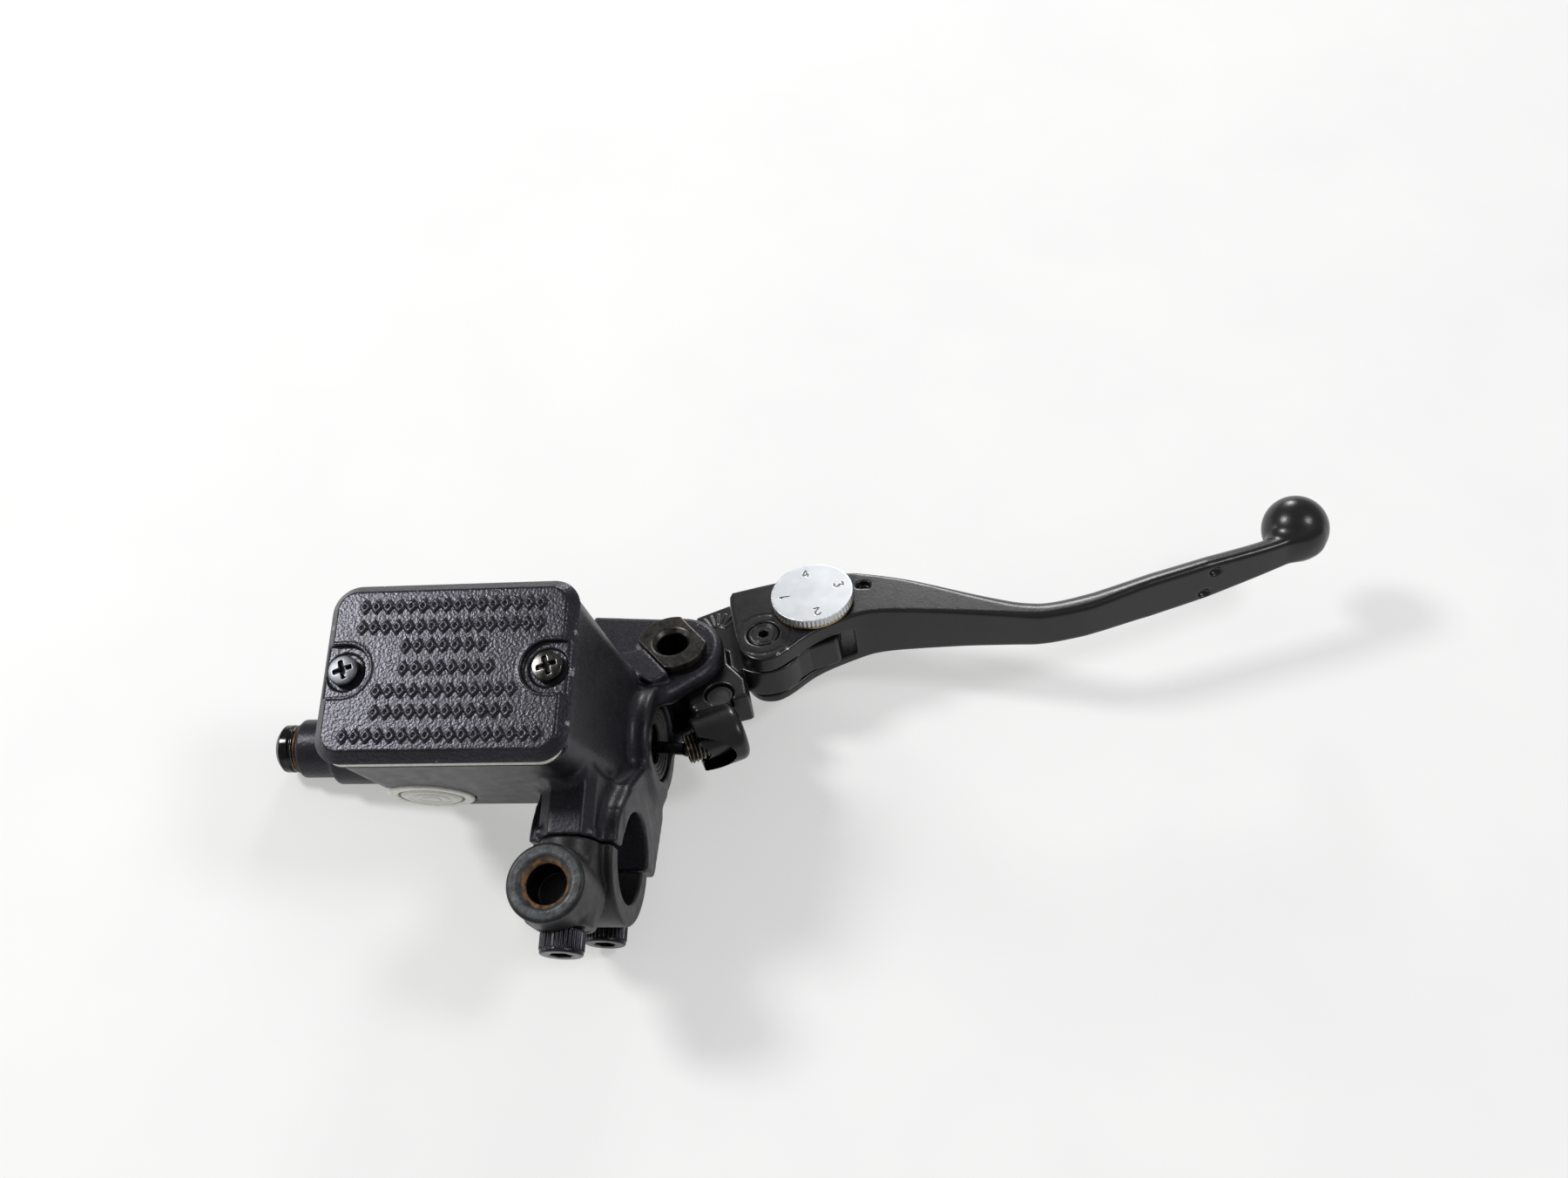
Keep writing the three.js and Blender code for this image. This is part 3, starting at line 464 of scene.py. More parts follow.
def rusty_ring(n, colour, metal, centre, hole, rim):
    """A worn steel rim about the centre, rusty within rim mm of it; hole is the reach of the painted shade,
    near black, in the hole below.
    """
    wobble = n.math("MULTIPLY", n.math("SUBTRACT", n.noise(2.5, 4), 0.5), 1.6 * MM)
    far = n.math("ADD", n.distance(centre), wobble)
    near_rim = n.ramp(far, (rim + 3.4) * MM, (rim + 2.2) * MM)
    face = n.math("MULTIPLY", near_rim, n.ramp(n.noise(2.2, 5, 0.65), 0.3, 0.62))
    colour = n.mix(n.math("MULTIPLY", face, 0.5), colour, (0.12, 0.13, 0.135))
    patches = n.ramp(n.noise(1.8, 5, 0.7), 0.38, 0.6)
    rust = n.both(n.ramp(far, (rim + 0.5) * MM, rim * MM), patches)
    tone = n.mix(n.noise(1.1, 4), (0.36, 0.19, 0.06), (0.12, 0.05, 0.018))
    colour = n.mix(rust, colour, tone)
    # painted shade: the hole below the rim darkened to near black
    below = n.distance((centre[0], centre[1], centre[2] - HOLE_DEPTH))
    hole_shade = n.ramp(below, hole * MM, (hole - 0.4) * MM)
    colour = n.mix(hole_shade, colour, (0.001, 0.001, 0.001))
    keep = n.math("SUBTRACT", 1.0, rust)
    worn = n.math("ADD", metal, n.math("MULTIPLY", face, 0.4), clamp=True)
    return colour, n.math("MULTIPLY", worn, keep)


STEEL_GRAIN = 1.2


def steel(name, dark, pale, rough, shade_in_hollows, rust=0.0, lip=None):
    """Steel of uneven tone, worn at its edges with painted glints along them, with painted shade in its
    hollows and a trace of rust; lip is (height, colour).
    """
    scale = STEEL_GRAIN
    n = Nodes(name)
    colour = n.mix(n.ramp(n.noise(scale * 4, 5, 0.6), 0.3, 0.7), dark, pale)
    # edges lighter: worn steel, and painted glints along them
    edge_glint_and_wear = n.both(n.ramp(n.attribute("edge"), 0.1, 0.6), n.ramp(n.noise(scale, 4), 0.35, 0.65))
    colour = n.mix(n.math("MULTIPLY", edge_glint_and_wear, 0.6), colour, tuple(min(1, c * 2.5 + 0.05) for c in pale))
    # hollows darkened: painted shade
    hollow = n.both(n.ramp(n.attribute("cave"), 0.15, 0.6), shade_in_hollows)
    colour = n.mix(hollow, colour, (0.012, 0.01, 0.009))
    if lip:
        height = n.node("VectorMath", {"operation": "DOT_PRODUCT"})
        n.put(height.inputs[0], n.where)
        height.inputs[1].default_value = (0, TILT_SIN, TILT_COS)
        low = n.ramp(height.outputs["Value"], (lip[0] + 0.15) * MM, (lip[0] - 0.05) * MM)
        colour = n.mix(low, colour, lip[1])
    spots = n.both(n.ramp(n.noise(scale * 1.5, 6, 0.7), 0.52, 0.66), rust)
    colour = n.mix(spots, colour, (0.16, 0.07, 0.02))
    smooth = n.ramp(n.noise(scale, 5, 0.6), 0.3, 0.7, *rough)
    roughness = n.math("ADD", smooth, n.math("MULTIPLY", spots, 0.3), clamp=True)
    normal = n.bump(n.noise(scale * 0.25, 4, 0.6), 0.008, 0.8)
    return n.finish(colour, roughness, 1.0, normal)


def moulded(name, dark, pale, rough=(0.5, 0.7), scale=1.5, bump_mm=0.02, specular=0.4):
    """Rubber or plastic with slight mottling and a fine skin."""
    n = Nodes(name)
    colour = n.mix(n.ramp(n.noise(scale, 5, 0.6), 0.3, 0.7), dark, pale)
    roughness = n.ramp(n.noise(scale * 0.6, 4), 0.3, 0.7, *rough)
    normal = n.bump(n.noise(0.4, 3), bump_mm, 0.8)
    return n.finish(colour, roughness, 0.0, normal, Specular_IOR_Level=specular)


# ---------- body casting ----------

LUG = Plan([(-12, 75), (9.6, 73.3), *arc(PIVOT, 12.8, 104, -52, 28), (13.5, 44.5), (9, 40), (-16, 40)])
LEVER_GAP = Plan([(30, 100), (8, 100), (2.4, 70), *arc(PIVOT, 11.2, 142, 222, 16), (6.4, 50.8), (30, 50.8)])
NECK = Plan([(0, -20), (0, 10), (9, 13.4), (16, 8), (24, -3), (24, -22), (16, -24.2)])
BOSS = Plan([(-7.6, 8), (6.2, 8), (6.2, 20), (4, 23), (-4.2, 23), (-7.6, 19)])
FLAT_ANGLE = math.radians(40.8)
WALL_LEAN = math.atan(2.9 / 46)
SIGHT = Matrix.Translation((-40.3, CYL_Y - 21.6 + 2.9 * 34.6 / 46, 6.4)) @ Matrix.Rotation(WALL_LEAN, 4, "X")


def pin_stop_outline():
    c, s = math.cos(FLAT_ANGLE), math.sin(FLAT_ANGLE)
    spots = ((6.7, -3), (6.7, 9), (11.7, 9), (15.7, 0), (12.7, -6))
    return [(PIVOT[0] - c * out + s * along, PIVOT[1] - s * out - c * along) for out, along in spots]


PIN_STOP = Plan(pin_stop_outline())


def reservoir_wall(x, y, z, inset=0.0):
    """Distance to the reservoir's four leaning walls."""
    drop = np.clip((41 - z) / 46, -0.3, 1.3)
    left, right = -55.65 + 2.9 * drop, 4.65 + 2.03 * drop
    return round_rect(x - (left + right) / 2, y - CYL_Y, (right - left) / 2, 21.6 - 2.9 * drop, 7) + inset


def clamp_arm(x, y, z):
    ring = common(hyp(y, z) - 16.4, np.abs(x) - 10.8, 0.9)
    neck = common(NECK(y, z), np.abs(x) - 10.8, 1.2)
    boss = common(BOSS(x, z), slab(y, -2, 16), 1.0)
    lower = rod(x, z + CLAMP_BOLT_Z, y, 7.2, -2, 18, 1.0)
    fill = block(x, y, z, (-7.4, 6.2), (-2, 15), (-17, 19), 0.5)
    bosses = union(union(boss, fill), lower, 1.0)
    arm = union(union(ring, neck, 1.0), bosses, 2.2)
    collar = block(x, y, z, (-8.2, 6.6), (-2, 2.4), (8, 21.2), 1.0)
    return union(arm, collar, 0.8)


def cylinder_barrel(x, y, z):
    across, up = y - CYL_Y, z - CYL_Z
    end = rod(across, up, x, 7.7, -86, -70, 0.7)
    step = rod(across, up, x, 9.5, -76, -50, 0.8)
    main = rod(across, up, x, 10.6, -53, 6, 0.8)
    flange = rod(across, up, x, 14.5, 2.4, 11.4, 1.3)
    return union(union(union(main, step, 0.8), end, 1.2), flange, 5.0)


def casting(x, y, z):
    y1, z1 = y * TILT_COS - z * TILT_SIN, y * TILT_SIN + z * TILT_COS
    wall = reservoir_wall(x, y, z)
    shell = common(common(wall, -5 - z, 1.6), z - 41, 0.25)
    barrel = cylinder_barrel(x, y, z)
    web = block(x, y, z, (-52, 5.5), (CYL_Y - 12, CYL_Y + 17), (CYL_Z - 2, -2), 2.0)
    lug = common(LUG(x, y1), np.abs(z1) - 10, 2.4)
    stop = common(PIN_STOP(x, y1), slab(z1, 3, 13), 0.5)
    arm = clamp_arm(x, y, z)
    solid = union(shell, union(barrel, web, 2.0), 2.5)
    solid = union(solid, lug, 3.0)
    solid = union(solid, stop, 0.8)
    solid = union(solid, common(arm, -6 - y, 0), 2.8)

    across, up = y - CYL_Y, z - CYL_Z
    around = hyp(across, up)
    hollow = common(wall + 3.4, -1.4 - z, 1.5)
    for screw in SCREWS_X:
        side = 1 if screw > LID_X else -1
        beside = side * (x - screw)
        post = union(hyp(x - screw, across) - 4.4, common(np.abs(across) - 4.4, -beside))
        hollow = minus(hollow, common(post, slab(z, 18, 38)), 0.4)
    seat = common(round_rect(x - LID_X, y - CYL_Y + 0.8, 29.15, 21.4, 5.4), 38 - z, 0.2)
    gap = union(LEVER_GAP(x, y1), block(x, y1, 0 * z, (11.7, 40), (30, 60), (-50, 50), 0.2))
    split = common(slab(x, -16, 16), common(y, slab(z, -30, 30)))
    from_pin, beside_pin = spun(x - PIVOT[0], y1 - PIVOT[1], FLAT_ANGLE)
    spotface = common(hyp(from_pin, beside_pin) - 10.1, common(9.6 - z1, -from_pin - 6.6))
    cuts = [
        (common(hollow, slab(z, -9, 50)), 0.3), (seat, 0.25),
        (common(gap, np.abs(z1) - 5.6), 0.7), (hyp(from_pin, beside_pin) - 5.3, 0.4), (spotface, 0.25),
        (split, 0.4), (common(hyp(y, z) - BAR_BORE, slab(x, -14, 14)), 0.6),
        (common(around - 9.8, slab(x, 7.6, 20)), 0.5), (common(around - 8.6, slab(x, 3.4, 9)), 0.2),
        (common(around - 7, slab(x, -50, 5)), 0.2), (common(around - 2.6, slab(x, -90, -48)), 0.1),
        (common(around - 5.1, slab(x, -90, -78)), 0.4),
        (common(hyp(x, z - CLAMP_BOLT_Z) - 3.3, slab(y, -5, 13)), 0.3),
        (common(hyp(x, z + CLAMP_BOLT_Z) - 3.3, slab(y, -5, 13)), 0.3),
    ]
    cl, sl = math.cos(WALL_LEAN), math.sin(WALL_LEAN)
    sx, sy, sz = x - SIGHT[0][3], y - SIGHT[1][3], z - SIGHT[2][3]
    out, up1 = sy * cl + sz * sl, sz * cl - sy * sl
    cuts.append((common(hyp(sx, up1) - 10.9, slab(out, -5, 2)), 0.5))
    cuts.append((common(hyp(sx, up1) - 8, slab(out, -1, 8)), 0.2))
    for tool, r in cuts:
        solid = minus(solid, tool, r)
    return solid


# ---------- lid ----------

# Rows of raised marks on the lid: the row's y, and the x where it starts and ends.
PATTERN = ((49.4, -48.3, -2.2), (44.2, -48.4, -2.3), (39.4, -37.2, -15.6), (33.9, -37.1, -13.2),
           (28.4, -42.9, -7.4), (23.3, -42.8, -8.0), (17.6, -49.7, -0.6))
STUD_PITCH = 2.9


def lid(x, y, z):
    edge = round_rect(x - LID_X, y - CYL_Y, 30.75, 22.2, 7)
    solid = common(edge, slab(z, 41.3, LID_TOP), 0.35)
    solid = common(solid, (edge + z - LID_TOP + 2.6) * 0.7071, 0.22)
    for row_y, left, right in PATTERN:
        count = max(1, round((right - left) / STUD_PITCH))
        pitch = (right - left) / count
        within = (x - left) - pitch * np.clip(np.round((x - left) / pitch - 0.5), 0, count - 1) - pitch / 2
        stud = (np.abs(within) * 1.3 + np.abs(y - row_y) - 1.75) * 0.61
        stud = np.abs(stud + 0.34) - 0.38
        solid = union(solid, common(stud, slab(z, LID_TOP - 0.6, LID_TOP + 0.48), 0.08), 0.08)
    for screw in SCREWS_X:
        side = 1 if screw > LID_X else -1
        beside, across = side * (x - screw), np.abs(y - CYL_Y)
        pocket = np.where(beside < 0, hyp(beside, across), across) - 6.3
        rim = common(np.abs(pocket - 0.35) - 0.45, slab(z, LID_TOP - 0.5, LID_TOP + 0.12), 0.2)
        solid = union(solid, common(rim, edge + 2.6, 0.2), 0.2)
        solid = minus(solid, common(pocket, LID_TOP - 1.3 - z), 0.45)
        around = hyp(x - screw, across)
        solid = minus(solid, common(around - 4.7, LID_TOP - 1.7 - z), 0.25)
        solid = minus(solid, around - 2.3)
    return solid


def lid_screw(x, y, z):
    around = hyp(x, y)
    head = common(common(around - 3.7, slab(z, 43.0, 45.0), 0.3), hyp(around, z - 23.2) - 21.7, 0.3)
    solid = union(head, rod(x, y, z, 1.9, 27, 43.5, 0.3), 0.2)
    for turn in (0.35, 0.35 + math.pi / 2):
        u, v = spun(x, y, turn)
        depth = 43.1 + np.clip(np.abs(u) - 1.2, 0, 2) * 0.6
        slot = common(np.abs(v) - 0.55, np.abs(u) - 2.35, 0.15)
        solid = minus(solid, common(slot, depth - z), 0.1)
    return solid


# ---------- clamp cap and its screws ----------

def clamp_cap(x, y, z):
    ring = common(hyp(y, z) - 16.4, np.abs(x) - 9.8, 0.9)
    upper = rod(x, z - CLAMP_BOLT_Z, y, 7.2, -20.6, 2, 0.8)
    lower = rod(x, z + CLAMP_BOLT_Z, y, 7.2, -11.2, 2, 0.8)
    fill = block(x, y, z, (-7.2, 7.2), (-11.2, 2), (-17, 17), 0.8)
    foot = block(x, y, z, (-8.4, 6.6), (-20.6, -3.6), (11, 22), 1.5)
    mirror = rod(x - MIRROR[0], y - MIRROR[1], z, 9.3, 13, 31, 0.9)
    solid = union(union(upper, foot, 0.8), union(lower, fill), 0.5)
    solid = union(ring, solid, 1.0)
    solid = union(solid, mirror, 0.8)
    around = hyp(x - MIRROR[0], y - MIRROR[1])
    chamfer = common((around - 4.7 + 29.3 - z) * 0.7071, slab(z, 20, 40))
    ridge = 0.35 * np.abs((z / 1.25 + np.arctan2(y - MIRROR[1], x - MIRROR[0]) / (2 * math.pi)) % 1.0 * 2 - 1)
    solid = common(solid, y + 0.6 + 0 * x, 0.5)
    cuts = [
        (hyp(y, z) - BAR_BORE, 0.6),
        (common(around - 4.6 - ridge, slab(z, 21, 40)), 0.2),
        (chamfer, 0.2),
        (common(hyp(x, z - CLAMP_BOLT_Z) - 3.3, slab(y, -21.5, 5)), 0.2),
        (common(hyp(x, z + CLAMP_BOLT_Z) - 3.3, slab(y, -21, 5)), 0.2),
        (common(hyp(x, z - CLAMP_BOLT_Z) - 5.9, y + 20.6), 0.3),
    ]
    for tool, r in cuts:
        solid = minus(solid, tool, r)
    return solid


def socket_screw(length):
    """A knurled M6 socket screw: its head's seat at z = 0, the head above it."""
    def field(x, y, z):
        around = hyp(x, y)
        angle = np.arctan2(y, x)
        ridge = 0.19 * np.cos(angle * 32) * np.clip(np.minimum(z - 0.5, 5.1 - z) * 3, 0, 1)
        head = common(around - 5.15 - ridge, slab(z, 0, 6), 0.5)
        solid = union(head, rod(x, y, z, 2.95, -length, 1, 0.4), 0.2)
        return minus(solid, common(hexagon(y, x, 2.5), 3 - z), 0.15)
    return field


# ---------- turned pieces ----------

def turned(profile, along, centre):
    """A field turned about a line: profile is [place along it, radius], centre its two other coordinates."""
    shape = Plan(profile, 4.0)
    others = [n for n in range(3) if n != along]

    def field(*p):
        return shape(p[along], hyp(p[others[0]] - centre[0], p[others[1]] - centre[1]))
    return field


UNION = [(-92.4, 3.6), (-92.4, 4.9), (-91.1, 6.3), (-88.9, 6.3), (-88.6, 5.9), (-88.2, 5.9), (-87.9, 6.3),
         (-87.5, 6.3), (-87.5, 4.7), (-78.4, 4.7), (-78.4, 2.6), (-84, 2.6), (-84, 3.6)]
WASHER = [(-87.2, 5), (-87.2, 6.45), (-87.0, 6.6), (-86.5, 6.6), (-86.3, 6.45), (-86.3, 5)]
BOOT = [(8, 8.8), (8.4, 9.5), (10.3, 9.5), (10.7, 9.2), (10.7, 8.2), (10.2, 7.9), (10.35, 7.2), (9.9, 6.9),
        (10.05, 6.2), (9.6, 5.9), (9.7, 5.2), (8.7, 5.2), (9.3, 7.6), (9.3, 8.8)]
SIGHT_RING = [(-0.5, 8.2), (-0.6, 8.8), (-0.6, 10.1), (-0.3, 10.6), (1.6, 10.6), (1.6, 8.2)]
SIGHT_GLASS = [(-1.0, -1), (-1.0, 2.2), (-0.75, 2.6), (-0.95, 3.1), (-0.95, 4.4), (-0.65, 4.9), (-0.85, 5.4),
               (-0.75, 6.6), (-0.4, 7.6), (4.5, 7.6), (4.5, -1)]


# ---------- lever ----------

def pivot_pin(x, y, z):
    around = hyp(x, y)
    head = common(around - 9.3, slab(z, 10.3, 13), 0.35)
    u, _ = spun(x, y, FLAT_ANGLE)
    head = common(head, slab(u, -6.4, 6.8), 0.3)
    solid = union(head, rod(x, y, z, 5, -17, 11, 0.6), 0.2)
    solid = minus(solid, common(around - 4.0, 0 - z), 0.1)
    return minus(solid, (around - 5.2 + 13 - z) * 0.7071, 0.25)


def pivot_nut(x, y, z):
    crown = (hyp(x, y) - 8.5 - (z + 15.3)) * 0.7071
    solid = common(hexagon(x, y, 7.7), slab(z, -15.3, -10.3), 0.2)
    return minus(common(solid, crown, 0.2), hyp(x, y) - 5.3, 0.3)


TONGUE = Plan([(14.8, 79.6), (10.6, 68.8), (12.6, 52.8), (20, 46), (33, 50), (31, 57),
               *arc(BLADE_PIVOT, 9.6, 235, 338, 18), (47, 66.6), (53.6, 69.4), (54.2, 70.6), (54.2, 73.35),
               (43, 73.5), *arc(BLADE_PIVOT, 9.6, 36, 128, 18), (24.4, 83), (23.2, 84)])
SHOULDER = Plan([(14, 54), (19, 44.5), (33, 49), (31.5, 55), (26.4, 60.5), (25, 66), (20, 68)])


def carrier(x, y, z):
    tongue = common(TONGUE(x, y), slab(z, -5.3, 3.1), 0.5)
    hub = rod(x - PIVOT[0], y - PIVOT[1], z, 9.4, -4.9, 4.9, 0.4)
    shoulder = common(SHOULDER(x, y), slab(z, -4.9, 4.7), 0.9)
    along, side = spun(x - BARREL_FACE[0], y - BARREL_FACE[1], BARREL_ANGLE)
    barrel = common(common(hyp(side, z) - 7.2, along - 12.2, 2.2), -along, 0.3)
    neck = block(along, side, z, (2.2, 10.7), (0, 12), (-4.9, 4.3), 1.4)
    solid = union(tongue, hub, 0.6)
    solid = union(solid, shoulder, 0.8)
    solid = union(solid, union(barrel, neck, 2.0), 1.6)
    for turn in range(50, 131, 16):
        out, off = spun(x - 21.2, y - 73.2, math.radians(turn))
        solid = union(solid, block(out, off, z, (2.4, 7.4), (-0.35, 0.35), (2.6, 3.34), 0.12), 0.15)
    for centre, radius, low in ((PIVOT, 6.6, -20), (BLADE_PIVOT, 5, -20), (LOCK_PIN, 3.9, -1.4)):
        solid = minus(solid, common(hyp(x - centre[0], y - centre[1]) - radius, low - z), 0.3)
    return minus(solid, hyp(side, z) - 4.3, 0.6)


def lock_pin(x, y, z):
    solid = rod(x, y, z, 3.4, -1.1, 3.9, 0.35)
    return minus(solid, common(hyp(x, y) - 2.6, 3.6 - z), 0.15)


def adjuster_screw(x, y, z):
    """Drawn along x from the barrel's face, with a real thread on the end that shows."""
    around, angle = hyp(y, z), np.arctan2(z, y)
    phase = (x / 1.0 + angle / (2 * math.pi)) % 1.0
    thread = 3.35 + 0.6 * (1 - np.abs(2 * phase - 1))
    solid = common((around - thread) * 0.75, slab(x, -3, 9.2), 0.25)
    solid = minus(solid, common(around - 2.1 + x * 0.32, x + 0.45), 0.2)
    return minus(solid, common(np.abs(z) - 0.6, 7.6 - x), 0.1)


FAR = smooth_line([(24.6, 83.8), (36, 87.2), (47, 89.6), (57, 90.2), (70, 88.8), (82.5, 85.9), (95, 83),
                   (104, 81.6), (111, 82.3), (122, 86.2), (139, 93), (152, 98.4), (163, 103.4),
                   (168, 106.6)])
NEAR = smooth_line([(180, 106), (178, 104.2), (167, 98.2), (149, 90), (133, 83.1), (121.5, 77.8),
                    (115, 75.7), (107, 74.1), (99, 74.5), (87, 75.2), (75, 75.5), (66, 75.3), (60, 74),
                    (52, 69.9), (47, 66.4), (42.8, 62), (40.2, 59.6), (37.4, 58.2), (33.6, 58.5),
                    (30.4, 61.1), (28.5, 65.4), (25.2, 77), (24.2, 82)])
BLADE = Plan([*FAR, *NEAR])
BEFORE_FAR = Plan([*FAR, (200, 122), (200, 0), (-20, 0), (-20, 70)], 14)
HALF_X = (10, 58, 74, 87, 107, 121, 135, 150, 167, 184)
HALF_Z = (8.2, 8.2, 7.3, 6.5, 5.6, 5.5, 6.2, 6, 4.6, 3.6)


def blade(x, y, z):
    high = np.abs(z) - np.interp(x, HALF_X, HALF_Z)
    solid = common(BLADE(x, y), high, np.interp(x, (60, 82, 108), (0.7, 0.9, 1.5)))
    front = common(BEFORE_FAR(x, y), high, np.interp(x, (58, 80, 100, 120), (0.9, 2.4, 4.6, 5.4)))
    solid = np.maximum(solid, front)
    ball = np.sqrt((x - BALL[0]) ** 2 + (y - BALL[1]) ** 2 + z * z) - 8.91
    solid = union(solid, ball, 2.0)
    cuts = [
        (block(x, y, z, (0, 58), (30, 120), FORK, 0.8), 0.5),
        (hyp(x - BLADE_PIVOT[0], y - BLADE_PIVOT[1]) - 4.4, 0.2),
        (common(hyp(x - WHEEL[0], y - WHEEL[1]) - 4.3, -z), 0.2),
        (common(hyp(x - WHEEL[0], y - WHEEL[1]) - 3.3, slab(z, -7, 1)), 0.2),
        (common(hyp(x - WHEEL[0] - 7.4, y - WHEEL[1] - 3) - 1.5, 4.4 - z), 0.1),
        (common(common(hyp(x - 60.3, y - 84.9) - 1.9, 83.9 - y, 0.3), 6.3 - z), 0.15),
        (common(np.abs(hyp(x - BLADE_PIVOT[0], y - BLADE_PIVOT[1]) - 7.2) - 0.28, 8.02 - z), 0.08),
    ]
    for tool, r in cuts:
        solid = minus(solid, tool, r)
    for dent_x, dent_z in ((152.4, 3.0), (149.4, -3.4)):
        dent_y = 89.9 + (dent_x - 149) * 0.46
        across = ((x - dent_x) / 1.9) ** 2 + ((y - dent_y) / 1.3) ** 2
        dent = np.sqrt(across + ((z - dent_z) / 1.3) ** 2)
        solid = minus(solid, (dent - 1) * 1.2, 0.3)
    return solid


def blade_screw(x, y, z):
    solid = rod(x, y, z, 4.1, -8, 8.1, 0.35)
    solid = minus(solid, common(np.abs(hyp(x, y) - 3.1) - 0.22, 7.9 - z), 0.08)
    return minus(solid, common(hexagon(x, y, 1.3), 5.5 - z), 0.12)


DIGITS = {
    "1": [(-0.45, 0.75), (0, 1.25), (0, -1.25)],
    "2": [(-0.7, 0.8), (-0.3, 1.25), (0.4, 1.25), (0.7, 0.75), (0.6, 0.25), (-0.75, -1.25), (0.75, -1.25)],
    "3": [(-0.7, 1.2), (0.65, 1.2), (0, 0.3), (0.6, -0.1), (0.7, -0.75), (0.2, -1.25), (-0.75, -1.05)],
    "4": [(0.45, -1.25), (0.45, 1.25), (-0.75, -0.5), (0.85, -0.5)],
}
DIAL = (("1", 192, 7.4), ("2", 287, 7.6), ("3", 22, 7.4), ("4", 110, 7.6))


def stroke(u, v, points, half_width):
    """Distance to a line drawn through the points."""
    nearest = np.full(np.broadcast(u, v).shape, 1e3)
    for (ax, ay), (bx, by) in zip(points, points[1:]):
        dx, dy = bx - ax, by - ay
        along = np.clip(((u - ax) * dx + (v - ay) * dy) / (dx * dx + dy * dy), 0, 1)
        nearest = np.minimum(nearest, hyp(u - ax - along * dx, v - ay - along * dy))
    return nearest - half_width


def wheel(x, y, z):
    around, angle = hyp(x, y), np.arctan2(y, x)
    groove = np.clip(np.minimum(z - 9.1, 11.5 - z) * 4, 0, 1)
    rim = around - 10.98 + groove * 0.17 * (1 - np.cos(angle * 60))
    solid = common(rim, slab(z, 9.0, 11.7), 0.3)
    solid = union(solid, rod(x, y, z, 10.8, 8.5, 9.4, 0.2))
    for digit, angle, out in DIAL:
        u, v = spun(x, y, math.radians(angle))
        solid = minus(solid, common(stroke(-v, u - out, DIGITS[digit], 0.17), 11.5 - z), 0.04)
    return minus(solid, common(hexagon(x, y, 2.55), z - 9.9), 0.1)


# ---------- the finishes ----------

# Worn spots: a point in the row frame and how far the wear reaches, in mm.
LID_CHIPS = [((-44.0, 57.0, 42.4), 2.2), ((-13.0, 57.0, 42.4), 2.4), ((-54.6, 44.9, 42.6), 1.3),
             ((5.0, 42.5, 42.0), 1.5), ((5.0, 33.0, 42.0), 1.6), ((4.9, 20.5, 42.0), 1.2)]
CASTING_CHIPS = [((-45.0, 14.2, 22.8), 1.2), ((-42.7, 14.2, 19.8), 1.0), ((-40.3, 14.1, 16.7), 1.0)]
LEVER_CHIPS = [((40.1, 58.24, -16.95), 0.9), ((42.4, 59.88, -17.69), 1.0), ((44.6, 61.44, -18.38), 0.9),
               ((46.9, 62.99, -19.07), 0.8), ((25.3, 66.19, -20.49), 0.7), ((27.6, 62.44, -18.82), 0.6)]

cast_black = coated("cast_black", (0.0055, 0.0053, 0.0070), (0.0095, 0.0092, 0.0120), rough=(0.34, 0.44),
                    grain=0.8, grain_mm=0.085, chips=0.66, glint=0.35, specular=0.34, spots=CASTING_CHIPS,
                    sheen=(0.92, 0.90, 1.0))
clamp_black = coated("clamp_black", (0.0050, 0.0050, 0.0055), (0.0090, 0.0090, 0.0095), rough=(0.36, 0.5),
                     grain=1.0, grain_mm=0.06, chips=0.62, glint=0.2,
                     ring=((MIRROR[0], MIRROR[1], 31), 8.9, 5.55))
lid_black = coated("lid_black", (0.0060, 0.0058, 0.0072), (0.0100, 0.0097, 0.0118), rough=(0.25, 0.31),
                   grain=0.72, grain_mm=0.115, chips=0.66, glint=0.3, specular=0.40, spots=LID_CHIPS,
                   sheen=(0.88, 0.87, 1.0))
lever_black = coated("lever_black", (0.0045, 0.0045, 0.0048), (0.0075, 0.0075, 0.0080), rough=(0.26, 0.31),
                     grain=0.6, grain_mm=0.02, chips=0.7, hollow_shade=0.6, glint=0.12, specular=0.42,
                     spots=LEVER_CHIPS)
pin_steel = steel("pin_steel", (0.024, 0.023, 0.021), (0.070, 0.067, 0.062), rough=(0.28, 0.45), shade_in_hollows=0.7,
                  rust=0.08)
black_steel = steel("black_steel", (0.012, 0.012, 0.014), (0.05, 0.05, 0.055), rough=(0.25, 0.4), shade_in_hollows=0.8)
head_steel = steel("head_steel", (0.05, 0.052, 0.058), (0.12, 0.123, 0.135), rough=(0.3, 0.45), shade_in_hollows=0.95)
oily_steel = steel("oily_steel", (0.02, 0.019, 0.018), (0.10, 0.095, 0.09), rough=(0.14, 0.3), shade_in_hollows=0.8)
bright_steel = steel("bright_steel", (0.42, 0.42, 0.43), (0.68, 0.68, 0.69), rough=(0.2, 0.38), shade_in_hollows=0.6)
wheel_steel = steel("wheel_steel", (0.52, 0.535, 0.555), (0.62, 0.635, 0.655), rough=(0.40, 0.50), shade_in_hollows=0.9,
                    lip=(9.35, (0.34, 0.25, 0.12)))
union_steel = steel("union_steel", (0.012, 0.013, 0.012), (0.05, 0.052, 0.05), rough=(0.1, 0.2), shade_in_hollows=0.6)
thread_steel = steel("thread_steel", (0.05, 0.043, 0.028), (0.16, 0.14, 0.10), rough=(0.25, 0.45), shade_in_hollows=1.0)
piston_metal = steel("piston_metal", (0.30, 0.31, 0.33), (0.45, 0.46, 0.48), rough=(0.22, 0.36), shade_in_hollows=0.4)
